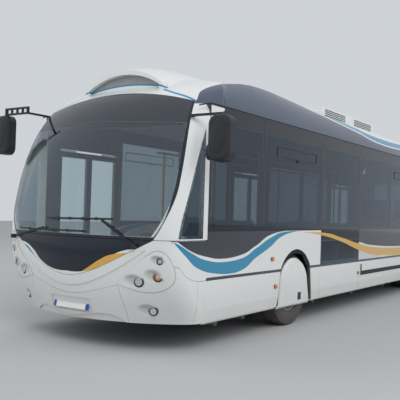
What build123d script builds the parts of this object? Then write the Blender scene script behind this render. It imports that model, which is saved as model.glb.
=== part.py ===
"""City bus, twelve metres, low floor, with a round raked nose and three inward gliding doors.

Millimetres. The origin is on the ground below the middle of the bus. +Z is up, the nose
points to -Y, and +X is the driver's side. The doors are on the -X side.
"""

from build123d import *
from math import atan2, cos, degrees, radians, sin, sqrt
import os

os.makedirs("parts", exist_ok=True)

# Driving dimensions of the whole vehicle
LENGTH = 12100
BODY_WIDTH = 2550
FRONT_OVERHANG = 2925
WHEELBASE = 6120
SKIRT_BOTTOM = 300
SKIRT_TOP = 742
PANEL_BOTTOM = 776
BELT = 1262
GUTTER = 2624
ROOF_CROWN = 3045
ROOF_SHOULDER = (1085, 2950)
ROOF_BULGE = (1228, 2815)
ROOF_FOOT = 2640
FLOOR_TOP = 340
WALL = 60
GLASS = 6
PANEL_GAP = 5

HALF = BODY_WIDTH / 2
NOSE_Y = -LENGTH / 2
TAIL_Y = LENGTH / 2
FRONT_AXLE_Y = NOSE_Y + FRONT_OVERHANG
REAR_AXLE_Y = FRONT_AXLE_Y + WHEELBASE

# Where the nose and tail modules join the straight body
FRONT_JOIN_Y = NOSE_Y + 788
REAR_JOIN_Y = TAIL_Y - 330

# Wheels and axles
TYRE_RADIUS = 478
TYRE_WIDTH = 272
RIM_RADIUS = 286
RIM_WIDTH = 215
AXLE_Z = TYRE_RADIUS
FRONT_WHEEL_X = 1072
REAR_OUTER_X = 1082
TWIN_SPACING = 318
KINGPIN_X = 955
KINGPIN_RADIUS = 24
SPINDLE_RADIUS = 42
RUN_CLEARANCE = 0.05

# Wheel arches in the side, half widths at the skirt's bottom and top, and the crown
ARCH_HALF_LOW = 510
ARCH_HALF_HIGH = 447
ARCH_TOP = 1003
HOUSING_HALF = 580
HOUSING_TOP = 1040
HOUSING_INNER_X = 515
LINING = 12

# Doors: a pair of leaves in each doorway
LEAF_THICK = 34
PIVOT_INSET = 34
LEAF_END_GAP = 12
LEAF_MEET_GAP = 8
LEAF_FRAME = 46
ARM_THICK = 12
ARM_WIDTH = 34
LEAF_PLANE_X = -(HALF - 3 - LEAF_THICK / 2)

# name, middle of the doorway, clear width
DOORWAYS = [
    ("front", -4495, 1130),
    ("middle", -85, 1300),
    ("rear", 4450, 1240),
]

# Side glazing: start and end of each pane, and its lower edge
LEFT_PANES = [
    (FRONT_JOIN_Y + 4, -4088, BELT + 3),
    (-4083, -2355, BELT + 3),
    (-2350, -852, SKIRT_TOP + 30),
    (-847, 677, BELT + 3),
    (682, 2203, BELT + 3),
    (2208, 3733, BELT + 3),
    (3738, 5150, BELT + 3),
]
RIGHT_PANES = [
    (-3888, -2355, BELT + 3),
    (-2350, -790, BELT + 3),
    (616, 2203, BELT + 3),
    (2208, 3775, BELT + 3),
]
PANE_TOP = GUTTER - 14
PANE_BORDER = 42

# The nose in plan: height, setback of its tip, nose radius, corner radius, side tuck
NOSE_SECTIONS = [
    (SKIRT_BOTTOM, 115, 1750, 300, 16),
    (650, 30, 2420, 300, 0),
    (1000, 0, 3200, 240, 0),
    (1500, 48, 3600, 235, 0),
    (2000, 177, 3620, 241, 0),
    (2400, 362, 3460, 255, 0),
    (2800, 702, 2920, 350, 0),
    (2930, 930, 2500, 400, 0),
    (3060, 1250, 2200, 420, 0),
]
NOSE_BACK_Y = FRONT_JOIN_Y + 1200
PANEL_STEP = 10
PANEL_SKIN = 18
NOSE_SKIN = 40
ROOF_SKIN = 35
FAIRING_SKIN = 18
SEAT_GAP = 0.3

# Front view outlines, from the outside in: x, z
WINDSCREEN_FOOT = 1172
WINDSCREEN_EDGE = [(1040, WINDSCREEN_FOOT), (1203, 1581), (1217, 1786), (1175, 2314), (1095, 2656)]
WINDSCREEN_CROWN = 2806
SCREEN_REBATE = 30
MASK_EDGE = [(1040, WINDSCREEN_FOOT), (620, 955), (0, 762)]
LIP_EDGE = [(961, 1072), (573, 826), (0, 655)]
BUMPER_EDGE = [(651, 701), (410, 631), (0, 565)]
LAMP_PANEL_TOP = [
    (651, 703),
    (700, 790),
    (861, 921),
    (1013, 1037),
    (1085, 1066),
    (1160, 1038),
    (1208, 945),
    (1221, 850),
]
LAMP_PANEL_FOOT = [(1221, 850), (1166, 711), (1002, 642), (861, 646), (651, 703)]
BUMPER_FOOT = [(-680, 285), (-600, 345), (0, 328), (600, 345), (680, 285)]
PLATE_RECESS = (0, 448, 600, 150)

# Side view outlines: y, z
QUARTER_REAR = FRONT_JOIN_Y - 81
QUARTER_EDGE = [(QUARTER_REAR, 2352), (-5506, 1950), (-5597, 1689), (-5715, 1334), (-5742, 1190)]
QUARTER_OPENING = [(QUARTER_REAR - 30, 2203), (-5478, 1939), (-5569, 1679), (-5686, 1326), (-5707, 1220)]
STEP_EDGE = [(-5745, 960), (-5700, 885), (-5600, 800), (-5500, 762), (-5400, 745)]
BUMPER_END_Y = -5410
CREST_EDGE = [(-5372, 2600), (-5300, 2662), (-5210, 2753), (-5020, 2863), (-4818, 2927)]

# Lamps: name, x, z, radius, and how far its axis turns outwards in degrees
LAMP_ROWS = [
    ("dipped", 870, 743, 48, 18),
    ("indicator", 1068, 803, 44, 34),
    ("position", 1105, 962, 26, 40),
    ("fog", 948, 436, 42, 24),
]
CUP_DEPTH = 20
CUP_FLARE = 11
CUP_EDGE = 4


def keep(piece, name):
    """Label a finished piece and write its STEP file."""
    piece.part.label = name
    export_step(piece.part, f"parts/{name}.step")
    print(name, len(piece.part.solids()), round(piece.part.volume / 1e6, 1), "litres")


def slab(x, y, z, mode=Mode.ADD):
    """A box between the two ends given on each axis."""
    with Locations(((x[0] + x[1]) / 2, (y[0] + y[1]) / 2, (z[0] + z[1]) / 2)):
        Box(abs(x[1] - x[0]), abs(y[1] - y[0]), abs(z[1] - z[0]), mode=mode)


def rod(x, y, z, radius, mode=Mode.ADD):
    """An upright round bar at x, y between two heights."""
    with Locations((x, y, (z[0] + z[1]) / 2)):
        Cylinder(radius, z[1] - z[0], mode=mode)


def cross_rod(x, y, z, radius, mode=Mode.ADD):
    """A round bar across the bus between two x."""
    with Locations(Location(((x[0] + x[1]) / 2, y, z), (0, 90, 0))):
        Cylinder(radius, abs(x[1] - x[0]), mode=mode)


def mirrored(points):
    """An outline of the +X half, from its outer end in to the middle, continued to the other half."""
    return [(-x, z) for x, z in points[:-1]] + points[::-1]


def nose_outline(setback, nose_radius, corner_radius, tuck, inset, back_y):
    """Plan outline of the nose: a wide arc, two corner arcs and straight sides."""
    half = HALF - inset - tuck
    big = nose_radius - inset
    small = corner_radius - inset
    centre_y = NOSE_Y + setback + nose_radius
    corner_x = half - small
    corner_y = centre_y - sqrt((big - small) ** 2 - corner_x**2)
    turn = atan2(corner_x, centre_y - corner_y)
    join = (big * sin(turn), centre_y - big * cos(turn))
    middle = (0, centre_y - big)
    mid_turn = (turn + radians(90)) / 2
    bulge = (corner_x + small * sin(mid_turn), corner_y - small * cos(mid_turn))
    with BuildLine() as outline:
        ThreePointArc((-join[0], join[1]), middle, join)
        ThreePointArc(join, bulge, (half, corner_y))
        Line((half, corner_y), (half, back_y))
        Line((half, back_y), (-half, back_y))
        Line((-half, back_y), (-half, corner_y))
        ThreePointArc((-half, corner_y), (-bulge[0], bulge[1]), (-join[0], join[1]))
    make_face(outline.edges())


def stretched(section, neighbour, reach):
    """A section carried on past the end of the nose, in line with its neighbour."""
    share = reach / abs(section[0] - neighbour[0])
    return tuple(here + (here - there) * share for here, there in zip(section, neighbour))


def nose_body(inset):
    """The solid nose, set in by inset. An inner one is taller and longer, to leave its shell open."""
    longer = inset / 2
    sections = list(NOSE_SECTIONS)
    sections[0] = stretched(NOSE_SECTIONS[0], NOSE_SECTIONS[1], longer)
    sections[-1] = stretched(NOSE_SECTIONS[-1], NOSE_SECTIONS[-2], longer)
    with BuildPart() as body:
        for height, setback, nose_radius, corner_radius, tuck in sections:
            with BuildSketch(Plane.XY.offset(height)):
                nose_outline(setback, nose_radius, corner_radius, tuck, inset, NOSE_BACK_Y + longer)
        loft()
    return body.part


def roof_outline(inset, foot):
    """Cross section of the roof from side to side, set in by inset."""
    half = HALF - inset
    bulge = (ROOF_BULGE[0] - inset * 0.95, ROOF_BULGE[1] - inset * 0.3)
    shoulder = (ROOF_SHOULDER[0] - inset * 0.5, ROOF_SHOULDER[1] - inset * 0.87)
    with BuildLine() as outline:
        Line((half, foot), (half, ROOF_FOOT))
        ThreePointArc((half, ROOF_FOOT), bulge, shoulder)
        ThreePointArc(shoulder, (0, ROOF_CROWN - inset), (-shoulder[0], shoulder[1]))
        ThreePointArc((-shoulder[0], shoulder[1]), (-bulge[0], bulge[1]), (-half, ROOF_FOOT))
        Line((-half, ROOF_FOOT), (-half, foot))
        Line((-half, foot), (half, foot))
    make_face(outline.edges())


def roof_bar(inset, foot, reach):
    """A solid with the roof's cross section."""
    with BuildPart() as bar:
        with BuildSketch(Plane.XZ.offset(-reach[1])):
            roof_outline(inset, foot)
        extrude(amount=reach[1] - reach[0])
    return bar.part


def windscreen_outline(grow):
    """Egg-shaped outline of the windscreen in front view, grown by grow."""
    foot, low, waist, high, top = [(x + grow, z) for x, z in WINDSCREEN_EDGE]
    foot = (foot[0], foot[1] - grow)
    top = (top[0], top[1] + grow)
    with BuildLine() as outline:
        ThreePointArc(foot, low, waist)
        ThreePointArc(waist, high, top)
        ThreePointArc(top, (0, WINDSCREEN_CROWN + grow), (-top[0], top[1]))
        ThreePointArc((-top[0], top[1]), (-high[0], high[1]), (-waist[0], waist[1]))
        ThreePointArc((-waist[0], waist[1]), (-low[0], low[1]), (-foot[0], foot[1]))
        Line((-foot[0], foot[1]), foot)
    make_face(outline.edges())


def over_curve(points, ends, top):
    """Front view of everything above a curve of points, level beyond its ends, up to top."""
    with BuildLine() as outline:
        Spline(*points)
        Polyline(
            points[-1], (ends, points[-1][1]), (ends, top), (-ends, top), (-ends, points[0][1]), points[0]
        )
    make_face(outline.edges())


def arch_outline(centre_y, low_half, high_half, top, foot=0):
    """Side view of a wheel arch: leaning sides and a round crown, y and z."""
    shoulder = SKIRT_TOP
    with BuildLine() as outline:
        Line((centre_y - low_half, foot), (centre_y + low_half, foot))
        Line((centre_y + low_half, foot), (centre_y + low_half, SKIRT_BOTTOM))
        Line((centre_y + low_half, SKIRT_BOTTOM), (centre_y + high_half, shoulder))
        ThreePointArc(
            (centre_y + high_half, shoulder), (centre_y, top), (centre_y - high_half, shoulder)
        )
        Line((centre_y - high_half, shoulder), (centre_y - low_half, SKIRT_BOTTOM))
        Line((centre_y - low_half, SKIRT_BOTTOM), (centre_y - low_half, foot))
    make_face(outline.edges())


def cut_arches(grow=0):
    """Both wheel arches cut right across the bus."""
    for centre_y in (FRONT_AXLE_Y, REAR_AXLE_Y):
        with BuildSketch(Plane.YZ) as arch:
            arch_outline(centre_y, ARCH_HALF_LOW + grow, ARCH_HALF_HIGH + grow, ARCH_TOP + grow)
        extrude(arch.sketch, amount=HALF + 50, both=True, mode=Mode.SUBTRACT)


def nose_line(setback, nose_radius, corner_radius, x):
    """How far forward the nose stands at x for one section of it."""
    centre_y = NOSE_Y + setback + nose_radius
    corner_x = HALF - corner_radius
    corner_y = centre_y - sqrt((nose_radius - corner_radius) ** 2 - corner_x**2)
    turn = atan2(corner_x, centre_y - corner_y)
    if x < nose_radius * sin(turn):
        return centre_y - sqrt(nose_radius**2 - x**2)
    return corner_y - sqrt(corner_radius**2 - (x - corner_x) ** 2)


def nose_front(x, z):
    """How far forward the nose stands at x, between the sections over and under z."""
    for below, above in zip(NOSE_SECTIONS, NOSE_SECTIONS[1:]):
        if below[0] <= z <= above[0]:
            share = (z - below[0]) / (above[0] - below[0])
            low = nose_line(*below[1:4], x)
            high = nose_line(*above[1:4], x)
            return low + share * (high - low)
    return NOSE_Y


def lamp_plane(side, x, z, turn, out):
    """A plane across a lamp's axis, out from the nose by out."""
    axis = (side * sin(radians(turn)), -cos(radians(turn)), 0)
    across = (cos(radians(turn)), side * sin(radians(turn)), 0)
    return Plane(origin=(side * x, nose_front(x, z), z), x_dir=across, z_dir=axis).offset(out)


def lamp_cups(rows):
    """Flared round cups, one for each lamp on both sides."""
    with BuildPart() as cups:
        for _, x, z, radius, turn in rows:
            for side in (-1, 1):
                with BuildSketch(lamp_plane(side, x, z, turn, -CUP_DEPTH)):
                    Circle(radius + CUP_EDGE)
                extrude(amount=-CUP_DEPTH)
                with BuildSketch(lamp_plane(side, x, z, turn, -CUP_DEPTH)):
                    Circle(radius + CUP_EDGE)
                with BuildSketch(lamp_plane(side, x, z, turn, CUP_DEPTH)):
                    Circle(radius + CUP_EDGE + 2 * CUP_FLARE)
                loft()
    return cups.part


nose_outer = nose_body(0)
nose_glazing = nose_body(GLASS)
nose_stepped = nose_body(PANEL_STEP)
nose_middle = nose_body(PANEL_SKIN)
nose_inner = nose_body(NOSE_SKIN)

with BuildPart() as nose_panels:
    add(nose_outer)
    add(nose_middle, mode=Mode.SUBTRACT)

with BuildPart() as nose_face:
    add(nose_outer)
    add(nose_stepped, mode=Mode.SUBTRACT)

with BuildPart() as nose_skin:
    add(nose_outer)
    add(nose_inner, mode=Mode.SUBTRACT)

with BuildPart() as nose_glass:
    add(nose_outer)
    add(nose_glazing, mode=Mode.SUBTRACT)

NOSE_X = (-HALF - 1, HALF + 1)
NOSE_REACH = (NOSE_Y - 1, FRONT_JOIN_Y)
PANEL_REACH = (SKIRT_BOTTOM, WINDSCREEN_FOOT - PANEL_GAP)

with BuildPart() as windscreen:
    add(nose_glass.part)
    with BuildSketch(Plane.XZ):
        windscreen_outline(0)
    extrude(amount=LENGTH, mode=Mode.INTERSECT)
keep(windscreen, "windscreen")


def quarter_prism(edge):
    """A quarter window's outline behind its front edge, in side view, carried out through both flanks."""
    with BuildPart() as prism:
        for side in (-1, 1):
            with BuildSketch(Plane.YZ.offset(side * 1150)):
                with BuildLine():
                    Spline(*edge)
                    Polyline(edge[-1], (edge[0][0], edge[-1][1]), edge[0])
                make_face()
            extrude(amount=side * 150)
    return prism.part


quarter_opening = quarter_prism(QUARTER_OPENING)
with BuildPart() as quarter_windows:
    add(nose_glass.part)
    add(quarter_prism(QUARTER_EDGE), mode=Mode.INTERSECT)

# The pillars either side of the windscreen, with the frame that goes down behind the panels
with BuildPart() as panel_bed:
    add(nose_panels.part)
    slab(NOSE_X, (NOSE_Y - 1, NOSE_BACK_Y), (SKIRT_BOTTOM - 20, WINDSCREEN_FOOT + PANEL_GAP), Mode.INTERSECT)

with BuildPart() as windscreen_frame:
    add(nose_skin.part)
    slab(NOSE_X, NOSE_REACH, (SKIRT_BOTTOM, GUTTER), Mode.INTERSECT)
    with BuildSketch(Plane.XZ):
        windscreen_outline(-SCREEN_REBATE)
    extrude(amount=LENGTH, mode=Mode.SUBTRACT)
    add(windscreen.part, mode=Mode.SUBTRACT)
    add(quarter_windows.part, mode=Mode.SUBTRACT)
    add(quarter_opening, mode=Mode.SUBTRACT)
    add(panel_bed.part, mode=Mode.SUBTRACT)
keep(windscreen_frame, "windscreen_frame")

# The dark mask below the windscreen, with its lower edge in a wide smile
with BuildPart() as front_mask:
    add(nose_panels.part)
    slab((-MASK_EDGE[0][0], MASK_EDGE[0][0]), NOSE_REACH, PANEL_REACH, Mode.INTERSECT)
    with BuildSketch(Plane.XZ):
        over_curve(mirrored(MASK_EDGE), HALF + 50, 2000)
    extrude(amount=LENGTH, mode=Mode.INTERSECT)
keep(front_mask, "front_mask")


def moved_off(points, by):
    """The inner points of a line, each moved off it to the left by a distance."""
    moved = []
    for before, here, after in zip(points, points[1:], points[2:]):
        run = (after[0] - before[0], after[1] - before[1])
        length = sqrt(run[0] ** 2 + run[1] ** 2)
        moved.append((here[0] - by * run[1] / length, here[1] + by * run[0] / length))
    return moved


def lamp_panel_prism(grow):
    """Both lamp panels' drop-shaped outline in front view, grown and carried through the nose."""
    inner_end = (LAMP_PANEL_TOP[0][0] - grow, LAMP_PANEL_TOP[0][1])
    outer_end = (LAMP_PANEL_TOP[-1][0] + grow, LAMP_PANEL_TOP[-1][1])
    with BuildPart() as prism:
        with BuildSketch(Plane.XZ):
            with BuildLine():
                Spline(inner_end, *moved_off(LAMP_PANEL_TOP, grow), outer_end)
                Spline(outer_end, *moved_off(LAMP_PANEL_FOOT, grow), inner_end)
            make_face()
            mirror(about=Plane.YZ)
        extrude(amount=LENGTH)
    return prism.part


def upper_prism(raise_by):
    """What lies above the bumper's seam: a smile in front, and a step down along each flank."""
    with BuildPart() as prism:
        front = [(-1215, 905)] + mirrored(BUMPER_EDGE) + [(1215, 905)]
        with BuildSketch(Plane.XZ):
            with BuildLine():
                Line(front[0], front[1])
                Spline(*front[1:-1])
                Line(front[-2], front[-1])
                beyond = HALF + 50
                Polyline(front[-1], (beyond, 905), (beyond, 1300), (-beyond, 1300), (-beyond, 905), front[0])
            make_face()
        extrude(amount=LENGTH)
        with BuildSketch(Plane.YZ.offset(-HALF - 50)):
            with BuildLine():
                Spline(*STEP_EDGE)
                start, end = STEP_EDGE[0], STEP_EDGE[-1]
                Polyline(end, (FRONT_JOIN_Y + 10, end[1]), (FRONT_JOIN_Y + 10, 1300), (start[0], 1300), start)
            make_face()
        extrude(amount=2 * HALF + 100)
    return prism.part.moved(Location((0, 0, raise_by)))


# The drop-shaped panels round the headlamps, each with flared cups
lamp_panel_room = lamp_panel_prism(PANEL_GAP)
with BuildPart() as lamp_panels:
    add(nose_panels.part)
    slab(NOSE_X, NOSE_REACH, PANEL_REACH, Mode.INTERSECT)
    add(lamp_panel_prism(0), mode=Mode.INTERSECT)
    add(lamp_cups(LAMP_ROWS[:3]), mode=Mode.SUBTRACT)
keep(lamp_panels, "lamp_panels")

# The moulded panel that carries the lip under the mask, round to both flanks
with BuildPart() as lip_step:
    add(nose_face.part)
    lip = mirrored(LIP_EDGE)
    with BuildSketch(Plane.XZ):
        with BuildLine():
            Spline(*lip)
            Polyline(lip[-1], (lip[-1][0], 500), (lip[0][0], 500), lip[0])
        make_face()
    extrude(amount=LENGTH, mode=Mode.INTERSECT)

with BuildPart() as nose_panel:
    add(nose_panels.part)
    slab(NOSE_X, NOSE_REACH, PANEL_REACH, Mode.INTERSECT)
    add(upper_prism(PANEL_GAP), mode=Mode.INTERSECT)
    with BuildSketch(Plane.XZ):
        over_curve([(x, z - PANEL_GAP) for x, z in mirrored(MASK_EDGE)], MASK_EDGE[0][0] + PANEL_GAP, 2000)
    extrude(amount=LENGTH, mode=Mode.SUBTRACT)
    add(lamp_panel_room, mode=Mode.SUBTRACT)
    add(lip_step.part, mode=Mode.SUBTRACT)
keep(nose_panel, "nose_panel")

# The bumper: seams beside the middle part and across each flank, a plate recess, a waved foot
with BuildPart() as plate_step:
    add(nose_face.part)
    with BuildSketch(Plane.XZ):
        with Locations((PLATE_RECESS[0], PLATE_RECESS[1])):
            RectangleRounded(PLATE_RECESS[2], PLATE_RECESS[3], 30)
    extrude(amount=LENGTH, mode=Mode.INTERSECT)

with BuildPart() as front_bumper:
    add(nose_panels.part)
    slab(NOSE_X, NOSE_REACH, PANEL_REACH, Mode.INTERSECT)
    add(upper_prism(0), mode=Mode.SUBTRACT)
    add(lamp_panel_room, mode=Mode.SUBTRACT)
    add(plate_step.part, mode=Mode.SUBTRACT)
    with BuildSketch(Plane.XZ):
        with BuildLine():
            Spline(*BUMPER_FOOT)
            Line(BUMPER_FOOT[-1], BUMPER_FOOT[0])
        make_face()
    extrude(amount=LENGTH, mode=Mode.SUBTRACT)
    for side in (-1, 1):
        with BuildSketch(Plane.XZ):
            with BuildLine():
                Polyline((side * 640, 730), (side * 683, 455), (side * 690, 250))
            trace(line_width=PANEL_GAP)
        extrude(amount=LENGTH, mode=Mode.SUBTRACT)
    slab(NOSE_X, (BUMPER_END_Y - PANEL_GAP, BUMPER_END_Y), (SKIRT_BOTTOM - 1, SKIRT_TOP + 20), Mode.SUBTRACT)
    add(lamp_cups(LAMP_ROWS[3:]), mode=Mode.SUBTRACT)
keep(front_bumper, "front_bumper")

# Body sides: a frame behind flush glass, with a dark recessed strip above the skirts
SILL = (280, FLOOR_TOP)
RAIL_FOOT = 700
STRIP_DEPTH = 8
SKIRT_SKIN = 20
SKIRT_CREASE = 432
SKIRT_TUCK = 16
POST_WIDTH = 70
POST_OUTER = HALF - SKIRT_TUCK - SKIRT_SKIN - 2
HEADER_BOTTOM = 2240
SEAMS = [-2352.5, -849.5, 679.5, 2205.5, 3735.5]
SIDE_REACH = (FRONT_JOIN_Y, REAR_JOIN_Y)


def doorway_reach(middle, width):
    """Both ends of a doorway along the bus."""
    return (middle - width / 2, middle + width / 2)


def side_wall(side, panes, doorways):
    """One side of the body, side is +1 for the driver's side."""
    inner = side * (HALF - WALL)
    middle = side * (HALF - SKIRT_SKIN)
    outer = side * HALF
    with BuildPart() as wall:
        slab((inner, outer), SIDE_REACH, (PANEL_BOTTOM, GUTTER))
        slab((inner, outer - side * STRIP_DEPTH), SIDE_REACH, (SKIRT_TOP + 3, PANEL_BOTTOM))
        slab((inner, middle), SIDE_REACH, (RAIL_FOOT, SKIRT_TOP + 3))
        slab((inner, side * POST_OUTER), SIDE_REACH, SILL)
        for seam in SEAMS + [SIDE_REACH[0] + POST_WIDTH / 2, SIDE_REACH[1] - POST_WIDTH / 2]:
            post = (seam - POST_WIDTH / 2, seam + POST_WIDTH / 2)
            slab((inner, side * POST_OUTER), post, (SILL[1], RAIL_FOOT))
        for start, end, low in panes:
            reach = (start - PANEL_GAP / 2, end + PANEL_GAP / 2)
            slab((outer - side * GLASS, outer), reach, (low - 3, PANE_TOP + 3), Mode.SUBTRACT)
            hole = (start + PANE_BORDER, end - PANE_BORDER)
            slab((inner, outer), hole, (low + PANE_BORDER, PANE_TOP - PANE_BORDER), Mode.SUBTRACT)
        for _, centre, width in doorways:
            reach = doorway_reach(centre, width)
            for post in ((reach[0] - POST_WIDTH, reach[0]), (reach[1], reach[1] + POST_WIDTH)):
                slab((inner, side * POST_OUTER), post, (SILL[1], RAIL_FOOT))
            slab((inner, outer), reach, (SILL[0], HEADER_BOTTOM), Mode.SUBTRACT)
            for pivot_y in (reach[0] + PIVOT_INSET, reach[1] - PIVOT_INSET):
                rod(LEAF_PLANE_X, pivot_y, (ARM_HIGH[0], HEADER_BOTTOM), PIVOT_RADIUS)
        cut_arches(LINING)
    return wall


# Door arms lie in the gaps under and over the leaves
LEAF_REACH = (362, 2215)
ARM_LOW = (FLOOR_TOP + 5.5, FLOOR_TOP + 5.5 + ARM_THICK)
ARM_HIGH = (LEAF_REACH[1] + 6, LEAF_REACH[1] + 6 + ARM_THICK)
PIVOT_RADIUS = 10

left_wall = side_wall(1, LEFT_PANES, [])
keep(left_wall, "left_wall")
right_wall = side_wall(-1, RIGHT_PANES, DOORWAYS)
keep(right_wall, "right_wall")


def side_windows(side, panes):
    """The flush panes of one side."""
    for start, end, low in panes:
        slab((side * (HALF - GLASS), side * HALF), (start, end), (low, PANE_TOP))


def side_skirts(side, doorways):
    """The row of skirt panels below the strip, creased and tucked in at the foot."""
    with BuildPart() as skirts:
        with BuildSketch(Plane.XZ.offset(-SIDE_REACH[1])):
            with BuildLine():
                Polyline(
                    (side * HALF, SKIRT_TOP),
                    (side * HALF, SKIRT_CREASE),
                    (side * (HALF - SKIRT_TUCK), SKIRT_BOTTOM),
                    (side * (HALF - SKIRT_TUCK - SKIRT_SKIN), SKIRT_BOTTOM),
                    (side * (HALF - SKIRT_SKIN), SKIRT_CREASE),
                    (side * (HALF - SKIRT_SKIN), SKIRT_TOP),
                    close=True,
                )
            make_face()
        extrude(amount=SIDE_REACH[1] - SIDE_REACH[0])
        for seam in SEAMS:
            reach = (seam - PANEL_GAP / 2, seam + PANEL_GAP / 2)
            slab((side * (HALF - 60), side * HALF), reach, (SKIRT_BOTTOM, SKIRT_TOP), Mode.SUBTRACT)
        for _, centre, width in doorways:
            reach = doorway_reach(centre, width)
            slab((side * (HALF - 60), side * HALF), reach, (SKIRT_BOTTOM, SKIRT_TOP), Mode.SUBTRACT)
        cut_arches()
    return skirts


left_skirts = side_skirts(1, [])
right_skirts = side_skirts(-1, DOORWAYS)
with BuildPart() as skirts:
    add(left_skirts.part)
    add(right_skirts.part)
keep(skirts, "skirts")

# Floor of separate boards, with a sill in each doorway and a raised platform over the engine room
PLATFORM_Y = 5110
PLATFORM_TOP = 1040
FLOOR_X = HALF - WALL
SILL_X = -(HALF - 2)

with BuildPart() as nose_floor:
    add(nose_inner)
    slab(NOSE_X, NOSE_REACH, (SKIRT_BOTTOM, FLOOR_TOP), Mode.INTERSECT)

with BuildPart() as floor:
    add(nose_floor.part)
    board_ends = (FRONT_JOIN_Y + SEAT_GAP, PLATFORM_Y - SEAT_GAP)
    slab((-HOUSING_INNER_X + SEAT_GAP, HOUSING_INNER_X - SEAT_GAP), board_ends, SILL)
    for side in (-1, 1):
        slab((side * HOUSING_INNER_X, side * FLOOR_X), board_ends, SILL)
    slab((-FLOOR_X, FLOOR_X), (PLATFORM_Y, PLATFORM_Y + 30), (SILL[0], PLATFORM_TOP))
    slab((-FLOOR_X, FLOOR_X), (PLATFORM_Y, REAR_JOIN_Y), (PLATFORM_TOP - 40, PLATFORM_TOP))
    for _, centre, width in DOORWAYS:
        reach = doorway_reach(centre, width)
        slab((SILL_X, -FLOOR_X), reach, SILL)
        for pivot_y in (reach[0] + PIVOT_INSET, reach[1] - PIVOT_INSET):
            rod(LEAF_PLANE_X, pivot_y, (FLOOR_TOP, ARM_LOW[1]), PIVOT_RADIUS)
    for axle_y in (FRONT_AXLE_Y, REAR_AXLE_Y):
        for side in (-1, 1):
            reach = (axle_y - HOUSING_HALF, axle_y + HOUSING_HALF)
            slab((side * HOUSING_INNER_X, side * HALF), reach, SILL, Mode.SUBTRACT)
keep(floor, "floor")

with BuildPart() as wheel_housings:
    for axle_y in (FRONT_AXLE_Y, REAR_AXLE_Y):
        for side in (-1, 1):
            reach = (axle_y - HOUSING_HALF, axle_y + HOUSING_HALF)
            bay = (axle_y - HOUSING_HALF + LINING, axle_y + HOUSING_HALF - LINING)
            slab((side * HOUSING_INNER_X, side * FLOOR_X), reach, (SILL[0], HOUSING_TOP))
            inside = (side * (HOUSING_INNER_X + LINING), side * HALF)
            slab(inside, bay, (0, HOUSING_TOP - LINING), Mode.SUBTRACT)
keep(wheel_housings, "wheel_housings")

# Roof and its side fairings, whose crest rises over the first bays and falls back to the roof
ROOF_REACH = (NOSE_BACK_Y, REAR_JOIN_Y)
roof_top = roof_bar(0, GUTTER, ROOF_REACH)
roof_under_fairing = roof_bar(FAIRING_SKIN, GUTTER, ROOF_REACH)
roof_face = roof_bar(FAIRING_SKIN + SEAT_GAP, GUTTER, ROOF_REACH)
roof_ceiling = roof_bar(FAIRING_SKIN + ROOF_SKIN, GUTTER, ROOF_REACH)
FAIRING_INNER_X = 960
CREST_WIDTH = 26

# Fairing sections: y, then x and z of the bulge, then x and z of the crest
FAIRING_SECTIONS = [
    (-5000, 1243, 2775, 1118, 2862),
    (-4870, 1248, 2790, 1130, 2908),
    (-4700, 1252, 2808, 1140, 2948),
    (-4480, 1254, 2822, 1145, 2985),
    (-4250, 1256, 2831, 1148, 3008),
    (-4000, 1256, 2833, 1148, 3016),
    (-3700, 1256, 2832, 1148, 3014),
    (-2895, 1254, 2826, 1152, 2978),
    (-1863, 1252, 2822, 1155, 2954),
    (0, 1250, 2818, 1156, 2940),
    (REAR_JOIN_Y, 1229, 2815, 1100, 2944),
]

with BuildPart() as roof:
    add(roof_face)
    add(roof_ceiling, mode=Mode.SUBTRACT)
keep(roof, "roof")


def fairing_wall(side):
    """The thick outer wall of a fairing through its sections."""
    with BuildPart() as fairing:
        for y, bulge_x, bulge_z, crest_x, crest_z in FAIRING_SECTIONS:
            inner_x = side * (crest_x - 2 * CREST_WIDTH)
            with BuildSketch(Plane.XZ.offset(-y)):
                with BuildLine():
                    ThreePointArc(
                        (side * HALF, ROOF_FOOT), (side * bulge_x, bulge_z), (side * crest_x, crest_z)
                    )
                    Polyline(
                        (side * crest_x, crest_z),
                        (side * (crest_x - CREST_WIDTH), crest_z),
                        (inner_x, ROOF_FOOT + 160),
                        (inner_x, GUTTER),
                        (side * HALF, GUTTER),
                        (side * HALF, ROOF_FOOT),
                    )
                make_face()
        loft(ruled=True)
    return fairing.part


with BuildPart() as dome_outside:
    add(nose_outer)
    add(roof_bar(0, GUTTER, (NOSE_Y, NOSE_BACK_Y)), mode=Mode.INTERSECT)

with BuildPart() as fairing_bed:
    add(nose_middle)
    add(roof_bar(FAIRING_SKIN + SEAT_GAP, GUTTER - 1, (NOSE_Y, NOSE_BACK_Y)), mode=Mode.INTERSECT)

with BuildPart() as fairing_nose:
    add(dome_outside.part)
    add(fairing_bed.part, mode=Mode.SUBTRACT)
    slab((-FAIRING_INNER_X, FAIRING_INNER_X), (NOSE_Y, NOSE_BACK_Y), (GUTTER, ROOF_CROWN), Mode.SUBTRACT)
    with BuildSketch(Plane.YZ.offset(-HALF - 50)):
        with BuildLine():
            Spline(*CREST_EDGE)
            Polyline(CREST_EDGE[-1], (-4500, 3100), (NOSE_BACK_Y, 3100), (NOSE_BACK_Y, 2600), CREST_EDGE[0])
        make_face()
    extrude(amount=2 * HALF + 100, mode=Mode.INTERSECT)

with BuildPart() as roof_fairings:
    add(roof_top)
    slab((-FAIRING_INNER_X, FAIRING_INNER_X), ROOF_REACH, (GUTTER, ROOF_CROWN), Mode.SUBTRACT)
    add(fairing_nose.part)
    for side in (-1, 1):
        add(fairing_wall(side))
    add(roof_under_fairing, mode=Mode.SUBTRACT)
    add(fairing_bed.part, mode=Mode.SUBTRACT)
    add(windscreen.part, mode=Mode.SUBTRACT)
keep(roof_fairings, "roof_fairings")

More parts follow.
